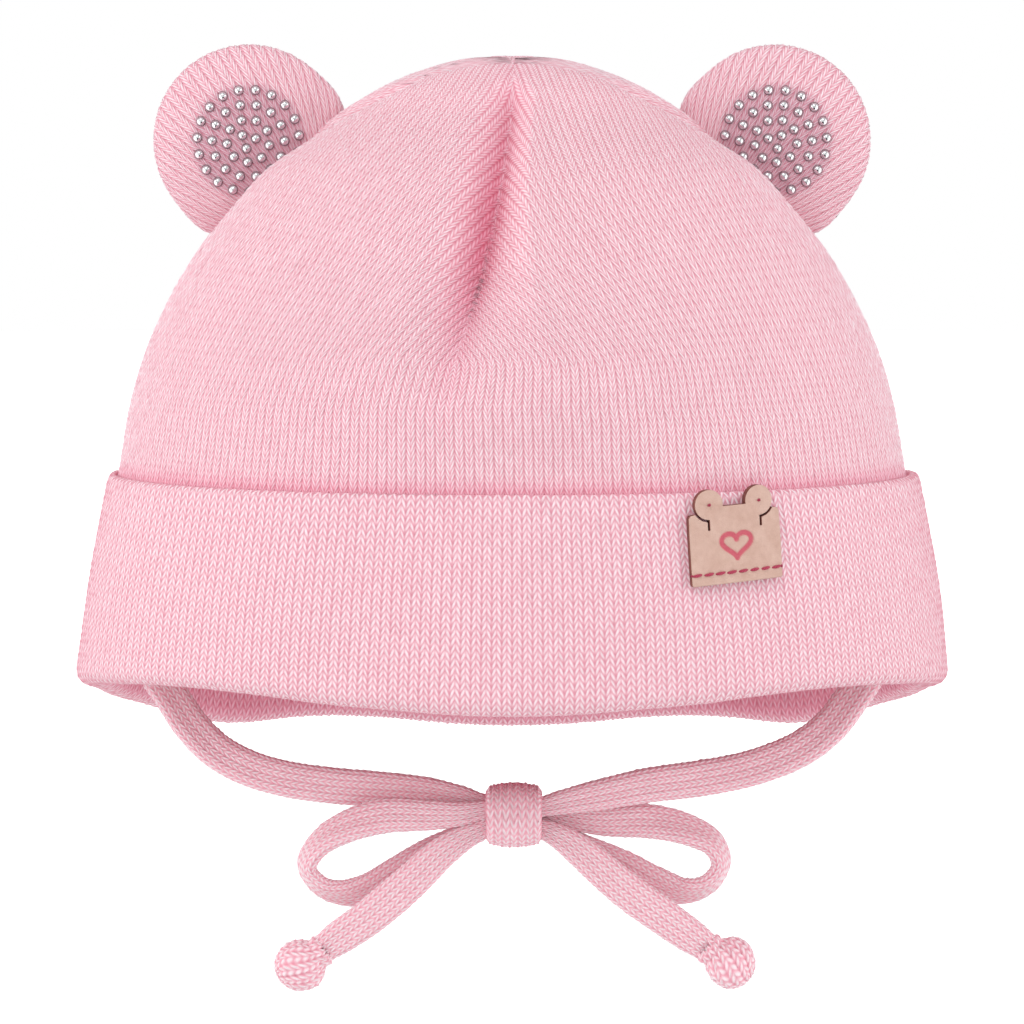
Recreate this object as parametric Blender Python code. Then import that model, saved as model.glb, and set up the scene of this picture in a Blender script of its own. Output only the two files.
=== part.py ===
"""Baby beanie with a turned-up cuff, two padded bear ears with studs, a leather tag and chin ties in a bow.

Metres, +Z up, front towards -Y. The origin is the middle of the head opening, level with the cuff's lower
edge at the hat's sides. The hat keeps the form that it has on a head, and the head's space inside is open.
"""

import math

import bmesh
import bpy
import numpy as np
from mathutils import Vector

# The knit, and the gap kept between neighbouring pieces.
KNIT_WALL = 0.0020
CLEARANCE = 0.00035

# The crown, measured on its outer face. The seams' valleys begin and reach their full depth at shares of
# CROWN_HEIGHT, and the folds at shares of CUFF_HEIGHT. The folds of one face fade out over SIDE_BLEND towards
# the side seams. The rim's lower edge follows RIM_LINE, in shares of RIM_DROP.
RIM_HALF_WIDTH = 0.0896
RIM_HALF_DEPTH = 0.0620
CROWN_HEIGHT = 0.1336
RIM_DROP = 0.0150
SEAM_DEPTH = 0.0016
SEAM_HALF_WIDTH = 0.0045
SEAM_START = 0.55
SEAM_FULL = 0.72
CREASE_DEPTH = 0.0100
FOLDS_FROM = 1.00
FOLDS_FULL = 1.45
SIDE_BLEND = 0.016

# The turned-up cuff.
CUFF_HEIGHT = 0.0462
CUFF_LEG_INSIDE = 0.0160
CUFF_BEAD = 0.0013

# The ears, and where the seam carries them.
EAR_RADIUS = 0.0201
EAR_THICKNESS = 0.0080
EAR_HEIGHT_SHARE = 0.833
EAR_LIFT = 0.0058
EAR_SET_BACK = 0.0030
SLOPE_STEP = 0.002

# The studs on the ears.
STUD_RADIUS = 0.00095
STUD_HEIGHT = 0.00080
STUD_BACKING = 0.00040
STUD_BORDER = 1.6

# The leather tag on the cuff.
TAG_WIDTH = 0.0200
TAG_SHOULDER = 0.0148
TAG_BAR = 0.0162
TAG_EAR_UP = 0.0167
TAG_EAR_RADIUS = 0.00305
TAG_EAR_SPREAD = 0.0055
TAG_SLIT = 0.00050
TAG_SLIT_LENGTH = 0.0018
TAG_NOTCH_TURNS = (math.radians(-46), math.radians(-63))
TAG_THICKNESS = 0.0015
TAG_SIDEWAYS = 0.0456
TAG_BASE_HEIGHT = 0.0274
TAG_TILT = math.radians(3.7)

# The chin ties, the knot and the balls. A tie takes a point for each step of length and for each turn.
TIE_WIDTH = 0.0073
TIE_STEP = 0.0100
TIE_TURN = math.radians(35)
KNOT_WIDTH = 0.0116
KNOT_HEIGHT = 0.0134
KNOT_DEPTH = 0.0130
KNOT_LOBES = 5
KNOT_GROOVE = 0.08
KNOT_BARREL = 0.07
KNOT_HOLE_SHARE = 0.76
KNOT_CENTRE = (0.0004, -0.0240, -0.0236)
BALL_RADIUS = 0.0050

# How finely the round forms are divided.
HAT_COLUMNS = 52
CROWN_ROWS = 16
EAR_COLUMNS = 26
BACKING_COLUMNS = 16
STUD_SIDES = 10
KNOT_COLUMNS = 16
BALL_COLUMNS = 14

# The crown's outline: height as a share of CROWN_HEIGHT, width and depth as shares of the rim's half sizes.
CROWN_OUTLINE = [
    # height, width, depth
    (0.025, 1.000, 1.000),
    (0.187, 0.968, 0.985),
    (0.347, 0.924, 0.962),
    (0.474, 0.889, 0.938),
    (0.600, 0.822, 0.888),
    (0.695, 0.744, 0.824),
    (0.776, 0.656, 0.742),
    (0.826, 0.590, 0.672),
    (0.869, 0.498, 0.586),
    (0.913, 0.398, 0.480),
    (0.952, 0.300, 0.372),
    (0.978, 0.207, 0.262),
    (0.995, 0.113, 0.145),
    (1.000, 0.000, 0.000),
]

# The rim's lower edge from the middle of the front to the middle of the back: the sine of the turn round the hat,
# and how far it hangs down as a share of RIM_DROP. Below 0 it arches up.
RIM_LINE = (
    (-1.00, -0.07),
    (-0.96, -0.15),
    (-0.90, -0.20),
    (-0.83, -0.28),
    (-0.70, -0.33),
    (-0.55, -0.31),
    (-0.29, -0.21),
    (-0.05, -0.08),
    (0.15, 0.04),
    (0.28, 0.22),
    (0.45, 0.41),
    (0.58, 0.63),
    (0.70, 0.82),
    (0.76, 0.84),
    (0.85, 0.79),
    (0.91, 0.80),
    (0.96, 0.87),
    (1.00, 1.00),
)

# The front crease from the top down. Height is a share of CROWN_HEIGHT, sideways a share of RIM_HALF_WIDTH,
# depth a share of CREASE_DEPTH, and the two reaches are shares of RIM_HALF_WIDTH.
FRONT_CREASE = [
    # height, sideways, depth, reach_left, reach_right
    (0.990, 0.006, 0.16, 0.050, 0.060),
    (0.930, -0.004, 0.42, 0.060, 0.085),
    (0.860, -0.022, 0.72, 0.070, 0.125),
    (0.780, -0.045, 1.00, 0.080, 0.190),
    (0.700, -0.070, 1.00, 0.090, 0.240),
    (0.620, -0.100, 0.74, 0.105, 0.240),
    (0.540, -0.130, 0.34, 0.125, 0.220),
    (0.470, -0.150, 0.00, 0.150, 0.220),
]

# Soft swells (height above 0) and dents (below 0) of the crown. Places and radii are shares of the rim's
# half width and of CROWN_HEIGHT, the height is a share of CREASE_DEPTH, and side is -1 for front, 1 for back.
SOFT_FORMS = [
    # sideways, up, radius_sideways, radius_up, height, side
    (0.00, 0.46, 0.34, 0.110, 0.34, -1),
    (-0.30, 0.70, 0.16, 0.150, 0.16, -1),
    (0.36, 0.66, 0.20, 0.160, 0.14, -1),
    (0.42, 0.44, 0.18, 0.070, -0.14, -1),
    (-0.46, 0.40, 0.22, 0.080, -0.12, -1),
    (0.00, 0.46, 0.40, 0.130, 0.20, 1),
    (-0.38, 0.62, 0.22, 0.160, 0.12, 1),
    (0.34, 0.60, 0.22, 0.150, 0.12, 1),
]

# The rings of studs: radius as a share of EAR_RADIUS, how many, and the first one's turn in steps.
STUD_RINGS = [
    # radius, count, first
    (0.083, 3, 0.39),
    (0.224, 9, 0.45),
    (0.378, 14, 0.49),
    (0.532, 19, 0.57),
]

# A stud's section below its tip: radius as a share of STUD_RADIUS, and height above the backing's face as a
# share of STUD_HEIGHT. The foot sinks into the backing.
STUD_SECTION = [
    # radius, rise
    (1.00, -0.28),
    (0.78, 0.60),
]

# Half of an ear's section, from its middle out: radius and half-thickness as shares.
EAR_SECTION = [
    # radius, half_thickness
    (0.00, 1.00),
    (0.42, 0.97),
    (0.74, 0.80),
    (0.92, 0.50),
    (1.00, 0.00),
]

# The left tie's route: in through the knot, round the right-hand loop, back and down to the left ball.
# Places are in metres, and the last column is the cord's width there as a share of TIE_WIDTH.
LEFT_TIE_ROUTE = [
    # x, y, z, width
    (-0.0778, -0.0124, 0.0135, 1.00),
    (-0.0760, -0.0126, 0.0072, 1.00),
    (-0.0718, -0.0130, 0.0008, 1.00),
    (-0.0672, -0.0140, -0.0060, 1.00),
    (-0.0618, -0.0155, -0.0112, 1.00),
    (-0.0550, -0.0170, -0.0147, 1.00),
    (-0.0474, -0.0180, -0.0168, 1.00),
    (-0.0372, -0.0185, -0.0182, 1.00),
    (-0.0270, -0.0190, -0.0189, 0.96),
    (-0.0170, -0.0205, -0.0195, 0.78),
    (-0.0104, -0.0218, -0.0205, 0.58),
    (-0.0058, -0.0225, -0.0215, 0.40),
    (0.0004, -0.0225, -0.0213, 0.30),
    (0.0062, -0.0224, -0.0223, 0.38),
    (0.0105, -0.0214, -0.0239, 0.54),
    (0.0183, -0.0204, -0.0252, 0.80),
    (0.0286, -0.0205, -0.0254, 0.96),
    (0.0369, -0.0212, -0.0272, 1.00),
    (0.0421, -0.0210, -0.0302, 1.00),
    (0.0436, -0.0205, -0.0345, 1.00),
    (0.0409, -0.0200, -0.0387, 1.00),
    (0.0359, -0.0195, -0.0402, 1.00),
    (0.0305, -0.0192, -0.0387, 1.00),
    (0.0226, -0.0194, -0.0347, 0.86),
    (0.0145, -0.0203, -0.0305, 0.54),
    (0.0083, -0.0217, -0.0272, 0.38),
    (0.0046, -0.0227, -0.0251, 0.30),
    (0.0004, -0.0241, -0.0241, 0.28),
    (-0.0030, -0.0253, -0.0252, 0.28),
    (-0.0062, -0.0259, -0.0265, 0.40),
    (-0.0100, -0.0263, -0.0282, 0.58),
    (-0.0143, -0.0268, -0.0310, 0.80),
    (-0.0218, -0.0270, -0.0379, 1.00),
    (-0.0295, -0.0266, -0.0445, 1.00),
    (-0.0360, -0.0260, -0.0491, 1.00),
    (-0.0399, -0.0256, -0.0519, 1.00),
]

# The right tie's route, the same way round through the left-hand loop to the right ball.
RIGHT_TIE_ROUTE = [
    # x, y, z, width
    (0.0778, -0.0124, 0.0135, 1.00),
    (0.0760, -0.0126, 0.0072, 1.00),
    (0.0718, -0.0130, 0.0005, 1.00),
    (0.0664, -0.0140, -0.0064, 1.00),
    (0.0598, -0.0155, -0.0111, 1.00),
    (0.0495, -0.0172, -0.0148, 1.00),
    (0.0390, -0.0192, -0.0166, 1.00),
    (0.0285, -0.0222, -0.0176, 0.95),
    (0.0183, -0.0245, -0.0193, 0.80),
    (0.0108, -0.0254, -0.0207, 0.58),
    (0.0060, -0.0255, -0.0217, 0.40),
    (0.0004, -0.0254, -0.0218, 0.30),
    (-0.0058, -0.0256, -0.0224, 0.38),
    (-0.0106, -0.0258, -0.0232, 0.58),
    (-0.0168, -0.0258, -0.0234, 0.78),
    (-0.0270, -0.0253, -0.0237, 0.98),
    (-0.0345, -0.0245, -0.0261, 1.00),
    (-0.0402, -0.0235, -0.0298, 1.00),
    (-0.0427, -0.0222, -0.0346, 1.00),
    (-0.0398, -0.0209, -0.0390, 1.00),
    (-0.0347, -0.0201, -0.0405, 1.00),
    (-0.0296, -0.0196, -0.0396, 1.00),
    (-0.0246, -0.0193, -0.0369, 0.96),
    (-0.0171, -0.0196, -0.0320, 0.74),
    (-0.0108, -0.0209, -0.0285, 0.52),
    (-0.0071, -0.0221, -0.0268, 0.40),
    (-0.0035, -0.0228, -0.0266, 0.28),
    (0.0004, -0.0240, -0.0269, 0.28),
    (0.0038, -0.0252, -0.0268, 0.30),
    (0.0066, -0.0258, -0.0266, 0.40),
    (0.0098, -0.0264, -0.0279, 0.58),
    (0.0138, -0.0269, -0.0306, 0.80),
    (0.0233, -0.0270, -0.0387, 1.00),
    (0.0312, -0.0265, -0.0445, 1.00),
    (0.0375, -0.0260, -0.0490, 1.00),
    (0.0411, -0.0256, -0.0516, 1.00),
]


def clear_scene():
    for item in list(bpy.data.objects):
        bpy.data.objects.remove(item, do_unlink=True)


def material(name, colour, roughness, metallic=0.0):
    made = bpy.data.materials.new(name)
    made.use_nodes = True
    shader = made.node_tree.nodes["Principled BSDF"]
    shader.inputs["Base Color"].default_value = (*colour, 1.0)
    shader.inputs["Roughness"].default_value = roughness
    shader.inputs["Metallic"].default_value = metallic
    made.diffuse_color = (*colour, 1.0)
    return made


def mesh_object(name, points, faces, finish, smooth=True):
    """A mesh object in the scene with its normals facing out."""
    mesh = bpy.data.meshes.new(name)
    mesh.from_pydata([tuple(map(float, point)) for point in points], [], [tuple(face) for face in faces])
    shape = bmesh.new()
    shape.from_mesh(mesh)
    bmesh.ops.recalc_face_normals(shape, faces=shape.faces)
    shape.to_mesh(mesh)
    shape.free()
    if smooth:
        mesh.shade_smooth()
    if finish is not None:
        mesh.materials.append(finish)
    made = bpy.data.objects.new(name, mesh)
    bpy.context.scene.collection.objects.link(made)
    return made


def hide_helper(helper):
    helper.hide_render = True
    helper.display_type = "WIRE"


def smooth_step(value, low, high):
    share = np.clip((value - low) / (high - low), 0.0, 1.0)
    return share * share * (3 - 2 * share)


def smooth_curve(rows, places):
    """Rows of a table read along one smooth curve, at places from 0 to 1 of its length."""
    rows = np.asarray(rows, float)
    steps = np.sqrt(np.linalg.norm(np.diff(rows[:, :3], axis=0), axis=1))
    knots = np.concatenate([[0.0], np.cumsum(steps)])
    slopes = np.gradient(rows, knots, axis=0)
    length = knots[-1]
    read = []
    for place in np.clip(places, 0.0, 1.0) * length:
        i = int(np.clip(np.searchsorted(knots, place) - 1, 0, len(knots) - 2))
        span = knots[i + 1] - knots[i]
        s = (place - knots[i]) / span
        read.append(
            (2 * s**3 - 3 * s**2 + 1) * rows[i]
            + (s**3 - 2 * s**2 + s) * span * slopes[i]
            + (3 * s**2 - 2 * s**3) * rows[i + 1]
            + (s**3 - s**2) * span * slopes[i + 1]
        )
    return np.array(read)


OUTLINE_SIZES = np.array([CROWN_HEIGHT, RIM_HALF_WIDTH, RIM_HALF_DEPTH])
OUTLINE_FINE = smooth_curve(np.array(CROWN_OUTLINE) * OUTLINE_SIZES, np.linspace(0, 1, 241))
OUTLINE_FINE[-1, 1:] = 0.0


def outline_at(height):
    """The crown's half width and half depth at a height, outside, before seams and folds."""
    level = np.clip(height, OUTLINE_FINE[0, 0], OUTLINE_FINE[-1, 0])
    return (
        np.interp(level, OUTLINE_FINE[:, 0], OUTLINE_FINE[:, 1]),
        np.interp(level, OUTLINE_FINE[:, 0], OUTLINE_FINE[:, 2]),
    )


def rim_drop(turn, height):
    """How far the hat hangs lower, towards the back through its height, or arches up within the cuff."""
    table = np.array(RIM_LINE)
    share = np.interp(np.sin(turn), table[:, 0], table[:, 1])
    hanging = np.maximum(share, 0) * np.clip(1 - height / CROWN_HEIGHT, 0, 1) ** 2
    arched = np.minimum(share, 0) * np.clip(1 - height / CUFF_HEIGHT, 0, 1) ** 2
    return RIM_DROP * (hanging + arched)


def fold_depth(x, y, z):
    """How far the seams, the crease and the soft forms push the crown's face inwards, above the cuff."""
    up = z / CROWN_HEIGHT
    free = smooth_step(z / CUFF_HEIGHT, FOLDS_FROM, FOLDS_FULL)
    front = y < 0
    ramp = smooth_step(up, SEAM_START, SEAM_FULL)
    depth = SEAM_DEPTH * ramp * math.exp(-((y / SEAM_HALF_WIDTH) ** 2))
    if not front:
        depth += SEAM_DEPTH * ramp * math.exp(-((x / SEAM_HALF_WIDTH) ** 2))
    if front:
        crease = np.array(FRONT_CREASE)[::-1]
        _, sideways, share, left, right = (
            np.interp(up, crease[:, 0], crease[:, column]) for column in range(5)
        )
        offset = x / RIM_HALF_WIDTH - sideways
        reach = left if offset < 0 else right
        depth += CREASE_DEPTH * share * math.exp(-((offset / reach) ** 2)) * smooth_step(-y, 0.0, SIDE_BLEND)
    for sideways, height, wide, tall, swell, side in SOFT_FORMS:
        away = ((x / RIM_HALF_WIDTH - sideways) / wide) ** 2 + ((up - height) / tall) ** 2
        depth -= CREASE_DEPTH * swell * math.exp(-away) * smooth_step(side * y, 0.0, SIDE_BLEND)
    return depth * free


def plain_point(turn, height, half_width, half_depth):
    """The crown's face with no seams or folds."""
    return np.array([
        half_width * math.cos(turn),
        half_depth * math.sin(turn),
        height - rim_drop(turn, height),
    ])


def crown_point(turn, share, outward=0.0):
    """A point of the crown's outer face: turn is the angle round the hat, share runs from edge to top."""
    place = share * (len(OUTLINE_FINE) - 1)
    index = np.arange(len(OUTLINE_FINE))

    def plain(angle, at):
        at = min(max(at, 0.0), len(OUTLINE_FINE) - 1)
        height, wide, deep = (np.interp(at, index, OUTLINE_FINE[:, k]) for k in range(3))
        return plain_point(angle, height, wide, deep)

    here = plain(turn, place)
    if share >= 1.0:
        normal = np.array([0.0, 0.0, 1.0])
    else:
        along = plain(turn + 1e-3, place) - plain(turn - 1e-3, place)
        upward = plain(turn, place + 0.5) - plain(turn, place - 0.5)
        normal = np.cross(along, upward)
        normal /= np.linalg.norm(normal)
    return here + normal * (outward - fold_depth(*here))


def dome(columns, rows, outward):
    """Points and faces of the crown's outer face, open below, and the ring of points at its edge."""
    points = []
    for row in range(rows):
        for column in range(columns):
            turn = 2 * math.pi * column / columns - math.pi / 2
            points.append(crown_point(turn, row / rows, outward))
    points.append(crown_point(0.0, 1.0, outward))
    faces = []
    for row in range(rows - 1):
        for column in range(columns):
            beside = (column + 1) % columns
            low, high = row * columns, (row + 1) * columns
            faces.append((low + column, low + beside, high + beside, high + column))
    last = (rows - 1) * columns
    faces += [(last + column, last + (column + 1) % columns, rows * columns) for column in range(columns)]
    return points, faces


def build_crown(finish):
    points, faces = dome(HAT_COLUMNS, CROWN_ROWS, 0.0)
    crown = mesh_object("crown", points, faces, finish)
    wall = crown.modifiers.new("wall", "SOLIDIFY")
    wall.thickness = KNIT_WALL
    wall.offset = -1
    return crown


def build_crown_envelope():
    """The crown's whole form made solid, a clearance larger, to cut the ears and their studs to a seat."""
    points, faces = dome(HAT_COLUMNS, CROWN_ROWS, CLEARANCE)
    faces.append(tuple(reversed(range(HAT_COLUMNS))))
    envelope = mesh_object("crown_envelope", points, faces, None)
    hide_helper(envelope)
    return envelope


FOLD_RADIUS = KNIT_WALL + CLEARANCE
FOLD_HEIGHT = FOLD_RADIUS + KNIT_WALL / 2


def cuff_point(turn, outward, height):
    """A point beside the crown's plain lower wall: outward from its outer face, level, at a height."""
    wide, deep = outline_at(height)
    beside = np.array([math.cos(turn) / wide, math.sin(turn) / deep])
    beside /= np.linalg.norm(beside)
    x = wide * math.cos(turn) + outward * beside[0]
    y = deep * math.sin(turn) + outward * beside[1]
    return np.array([x, y, height - rim_drop(turn, height)])


def cuff_section():
    """The closed outline of the folded band in section, as outward and height."""
    outer = CLEARANCE + KNIT_WALL / 2
    middle = outer - FOLD_RADIUS
    half = KNIT_WALL / 2
    line = [
        (outer, CUFF_HEIGHT - CUFF_BEAD),
        (outer, CUFF_HEIGHT - 4 * CUFF_BEAD),
        (outer, CUFF_HEIGHT * 0.58),
        (outer, CUFF_HEIGHT * 0.30),
    ]
    for step in range(5):
        angle = math.pi * step / 4
        line.append((middle + FOLD_RADIUS * math.cos(angle), FOLD_HEIGHT - FOLD_RADIUS * math.sin(angle)))
    line.append((middle - FOLD_RADIUS, CUFF_LEG_INSIDE))
    line = np.array(line)
    run = np.gradient(line, axis=0)
    run /= np.linalg.norm(run, axis=1)[:, None]
    across = np.column_stack([-run[:, 1], run[:, 0]])
    outside = line + across * half
    inside = line - across * half
    top = line[0] - run[0] * CUFF_BEAD + across[0] * (CUFF_BEAD - half)
    inner_end = line[-1] + run[-1] * half
    return np.vstack([[top], outside, [inner_end], inside[::-1]])


def build_brim(finish):
    section = cuff_section()
    points = []
    for column in range(HAT_COLUMNS):
        turn = 2 * math.pi * column / HAT_COLUMNS
        points += [cuff_point(turn, outward, height) for outward, height in section]
    count = len(section)
    faces = []
    for column in range(HAT_COLUMNS):
        here, there = column * count, (column + 1) % HAT_COLUMNS * count
        for step in range(count):
            after = (step + 1) % count
            faces.append((here + step, there + step, there + after, here + after))
    return mesh_object("brim", points, faces, finish)


def ear_centre(side):
    """The middle of an ear's mid-plane: a lift off the seam's outline, square to it."""
    seat = EAR_HEIGHT_SHARE * CROWN_HEIGHT
    wide, _ = outline_at(seat)
    above, _ = outline_at(seat + SLOPE_STEP)
    below, _ = outline_at(seat - SLOPE_STEP)
    normal = np.array([2 * SLOPE_STEP, below - above])
    normal /= np.linalg.norm(normal)
    return np.array([
        side * (wide + EAR_LIFT * normal[0]),
        EAR_SET_BACK,
        seat + EAR_LIFT * normal[1],
    ])


def ear_face(radius):
    """The ear's half-thickness at a distance from its middle."""
    rows = np.array(EAR_SECTION)
    share = np.clip(radius / EAR_RADIUS, 0, 1)
    return EAR_THICKNESS / 2 * np.interp(share, rows[:, 0], rows[:, 1])


def cut_to_crown(piece, envelope):
    cut = piece.modifiers.new("seat on the crown", "BOOLEAN")
    cut.operation = "DIFFERENCE"
    cut.object = envelope
    cut.solver = "EXACT"


def build_ear(name, side, envelope, finish):
    centre = ear_centre(side)
    rings = EAR_SECTION[1:] + [(radius, -half) for radius, half in reversed(EAR_SECTION[1:-1])]
    points = [centre + (0, -EAR_THICKNESS / 2, 0)]
    for radius, half in rings:
        for column in range(EAR_COLUMNS):
            turn = 2 * math.pi * column / EAR_COLUMNS
            points.append(centre + (
                EAR_RADIUS * radius * math.cos(turn),
                -EAR_THICKNESS / 2 * half,
                EAR_RADIUS * radius * math.sin(turn),
            ))
    points.append(centre + (0, EAR_THICKNESS / 2, 0))
    last = len(points) - 1
    faces = [(0, 1 + (c + 1) % EAR_COLUMNS, 1 + c) for c in range(EAR_COLUMNS)]
    for ring in range(len(rings) - 1):
        low, high = 1 + ring * EAR_COLUMNS, 1 + (ring + 1) * EAR_COLUMNS
        for c in range(EAR_COLUMNS):
            after = (c + 1) % EAR_COLUMNS
            faces.append((low + c, low + after, high + after, high + c))
    start = 1 + (len(rings) - 1) * EAR_COLUMNS
    faces += [(last, start + c, start + (c + 1) % EAR_COLUMNS) for c in range(EAR_COLUMNS)]
    ear = mesh_object(name, points, faces, finish)
    cut_to_crown(ear, envelope)
    return ear


def inside_crown(point, margin):
    """Whether a point lies within the crown's outer form, or nearer to it than the margin."""
    wide, deep = outline_at(point[2] - margin)
    return (point[0] / (wide + margin)) ** 2 + (point[1] / (deep + margin)) ** 2 < 1


def stud_places(side):
    """Where the studs stand on an ear: across and up from its middle. The crown covers the others."""
    centre = ear_centre(side)
    places = []
    for share, count, first in STUD_RINGS:
        for step in range(count):
            turn = math.pi / 2 + 2 * math.pi * (step + first) / count
            across = side * -EAR_RADIUS * share * math.cos(turn)
            up = EAR_RADIUS * share * math.sin(turn)
            foot = centre + (across, -ear_face(math.hypot(across, up)), up)
            if not inside_crown(foot, STUD_RADIUS + 2 * CLEARANCE):
                places.append((across, up))
    return places


def build_stud_field(name, side, envelope, finish):
    """The thin backing on the ear's face with its studs fused on, cut where the crown passes in front."""
    centre = ear_centre(side)
    reach = EAR_RADIUS * STUD_RINGS[-1][0] + STUD_BORDER * STUD_RADIUS
    columns, ring_shares = BACKING_COLUMNS, (0.5, 1.0)

    def layer(lift):
        made = [centre + (0, -ear_face(0) - lift, 0)]
        for share in ring_shares:
            for c in range(columns):
                turn = 2 * math.pi * c / columns
                radius = reach * share
                made.append(centre + (
                    radius * math.cos(turn), -ear_face(radius) - lift, radius * math.sin(turn)
                ))
        return made

    points = layer(CLEARANCE + STUD_BACKING) + layer(CLEARANCE)
    per_layer = 1 + columns * len(ring_shares)
    faces = []
    for c in range(columns):
        after = (c + 1) % columns
        for base, order in ((0, 1), (per_layer, -1)):
            inner = (base, base + 1 + after, base + 1 + c)
            ring = (base + 1 + c, base + 1 + after, base + 1 + columns + after, base + 1 + columns + c)
            faces += [inner[::order], ring[::order]]
        rim, rim_below = 1 + columns, per_layer + 1 + columns
        faces.append((rim + c, rim + after, rim_below + after, rim_below + c))
    field = mesh_object(name, points, faces, finish)
    cut_to_crown(field, envelope)

    stud_points, stud_faces = [], []
    for across, up in stud_places(side):
        foot = centre + (across, -ear_face(math.hypot(across, up)) - CLEARANCE, up)
        first = len(stud_points)
        for share, rise in STUD_SECTION:
            lift = STUD_BACKING + STUD_HEIGHT * rise
            for c in range(STUD_SIDES):
                turn = 2 * math.pi * c / STUD_SIDES
                stud_points.append(foot + (
                    STUD_RADIUS * share * math.cos(turn), -lift, STUD_RADIUS * share * math.sin(turn)
                ))
        stud_points.append(foot + (0, -STUD_BACKING - STUD_HEIGHT, 0))
        stud_faces.append(tuple(first + c for c in range(STUD_SIDES)))
        for c in range(STUD_SIDES):
            after = (c + 1) % STUD_SIDES
            low, high = first, first + STUD_SIDES
            stud_faces.append((low + c, low + after, high + after, high + c))
            stud_faces.append((high + c, high + after, high + STUD_SIDES))
    studs = mesh_object(name + "_studs", stud_points, stud_faces, None)
    hide_helper(studs)
    join = field.modifiers.new("studs", "BOOLEAN")
    join.operation = "UNION"
    join.object = studs
    join.solver = "EXACT"
    return field


def tag_outline():
    """The tag's outline, across and up from the middle of its lower edge, counter-clockwise."""
    half = TAG_WIDTH / 2
    notch = TAG_EAR_RADIUS + TAG_SLIT
    slit_out = TAG_EAR_SPREAD + TAG_SLIT
    slit_top = TAG_EAR_UP - notch
    right = [(half, 0.0), (half, TAG_SHOULDER / 2), (half, TAG_SHOULDER)]
    for angle in TAG_NOTCH_TURNS:
        right.append((TAG_EAR_SPREAD + notch * math.cos(angle), TAG_EAR_UP + notch * math.sin(angle)))
    right.append((slit_out, slit_top))
    right.append((slit_out, slit_top - TAG_SLIT_LENGTH))
    right.append((TAG_EAR_SPREAD, slit_top - TAG_SLIT_LENGTH))
    steps = 13
    bar_angle = math.pi + math.asin((TAG_EAR_UP - TAG_BAR) / TAG_EAR_RADIUS)
    for step in range(steps + 1):
        angle = -math.pi / 2 + (bar_angle + math.pi / 2) * step / steps
        right.append((
            TAG_EAR_SPREAD + TAG_EAR_RADIUS * math.cos(angle),
            TAG_EAR_UP + TAG_EAR_RADIUS * math.sin(angle),
        ))
    return right + [(-across, up) for across, up in reversed(right)]


def tag_point(across, up, lift):
    """A place on the tag laid on the cuff's curved front, a lift off its face."""
    face = CLEARANCE + KNIT_WALL + CLEARANCE
    level_across = across * math.cos(TAG_TILT) - up * math.sin(TAG_TILT)
    height = TAG_BASE_HEIGHT + up * math.cos(TAG_TILT) + across * math.sin(TAG_TILT)
    wide, _ = outline_at(height)
    turn = -math.acos(TAG_SIDEWAYS / (wide + face))
    for _ in range(8):
        ahead = cuff_point(turn + 1e-3, face, height) - cuff_point(turn - 1e-3, face, height)
        turn += level_across / 8 / (np.linalg.norm(ahead) / 2e-3)
    return cuff_point(turn, face + lift, height)


def build_tag(finish):
    outline = tag_outline()
    shape = bmesh.new()
    ring = [shape.verts.new((across, 0.0, up)) for across, up in outline]
    shape.faces.new(ring)
    cuts = 8
    for step in range(1, cuts):
        at = TAG_WIDTH * (step / cuts - 0.5)
        everything = shape.verts[:] + shape.edges[:] + shape.faces[:]
        bmesh.ops.bisect_plane(shape, geom=everything, plane_co=(at, 0, 0), plane_no=(1, 0, 0))
    made = bmesh.ops.extrude_face_region(shape, geom=shape.faces[:])
    for vert in made["geom"]:
        if isinstance(vert, bmesh.types.BMVert):
            vert.co.y = -TAG_THICKNESS
    bmesh.ops.triangulate(shape, faces=shape.faces[:])
    for vert in shape.verts:
        vert.co = tag_point(vert.co.x, vert.co.z, -vert.co.y)
    bmesh.ops.recalc_face_normals(shape, faces=shape.faces)
    mesh = bpy.data.meshes.new("label_tag")
    shape.to_mesh(mesh)
    shape.free()
    mesh.materials.append(finish)
    tag = bpy.data.objects.new("label_tag", mesh)
    bpy.context.scene.collection.objects.link(tag)
    return tag


def route_points(route):
    """The route read along a smooth curve, with the steps shorter where it bends."""
    fine = smooth_curve(route, np.linspace(0, 1, 1200))
    steps = np.diff(fine[:, :3], axis=0)
    lengths = np.linalg.norm(steps, axis=1)
    headings = steps / lengths[:, None]
    turns = np.arccos(np.clip((headings[1:] * headings[:-1]).sum(axis=1), -1, 1))
    turns = np.concatenate([[0.0], turns])
    run = np.concatenate([[0.0], np.cumsum(lengths / TIE_STEP + turns / TIE_TURN)])
    places = np.linspace(0, run[-1], round(run[-1]) + 1)
    return np.column_stack([np.interp(places, run, fine[:, k]) for k in range(4)])


def build_tie(name, route, finish):
    points = route_points(route)
    curve = bpy.data.curves.new(name, "CURVE")
    curve.dimensions = "3D"
    curve.bevel_depth = TIE_WIDTH / 2
    curve.bevel_resolution = 2
    curve.use_fill_caps = True
    spline = curve.splines.new("POLY")
    spline.points.add(len(points) - 1)
    for point, (x, y, z, share) in zip(spline.points, points):
        point.co = (x, y, z, 1.0)
        point.radius = share
    curve.materials.append(finish)
    tie = bpy.data.objects.new(name, curve)
    bpy.context.scene.collection.objects.link(tie)
    return tie


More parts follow.
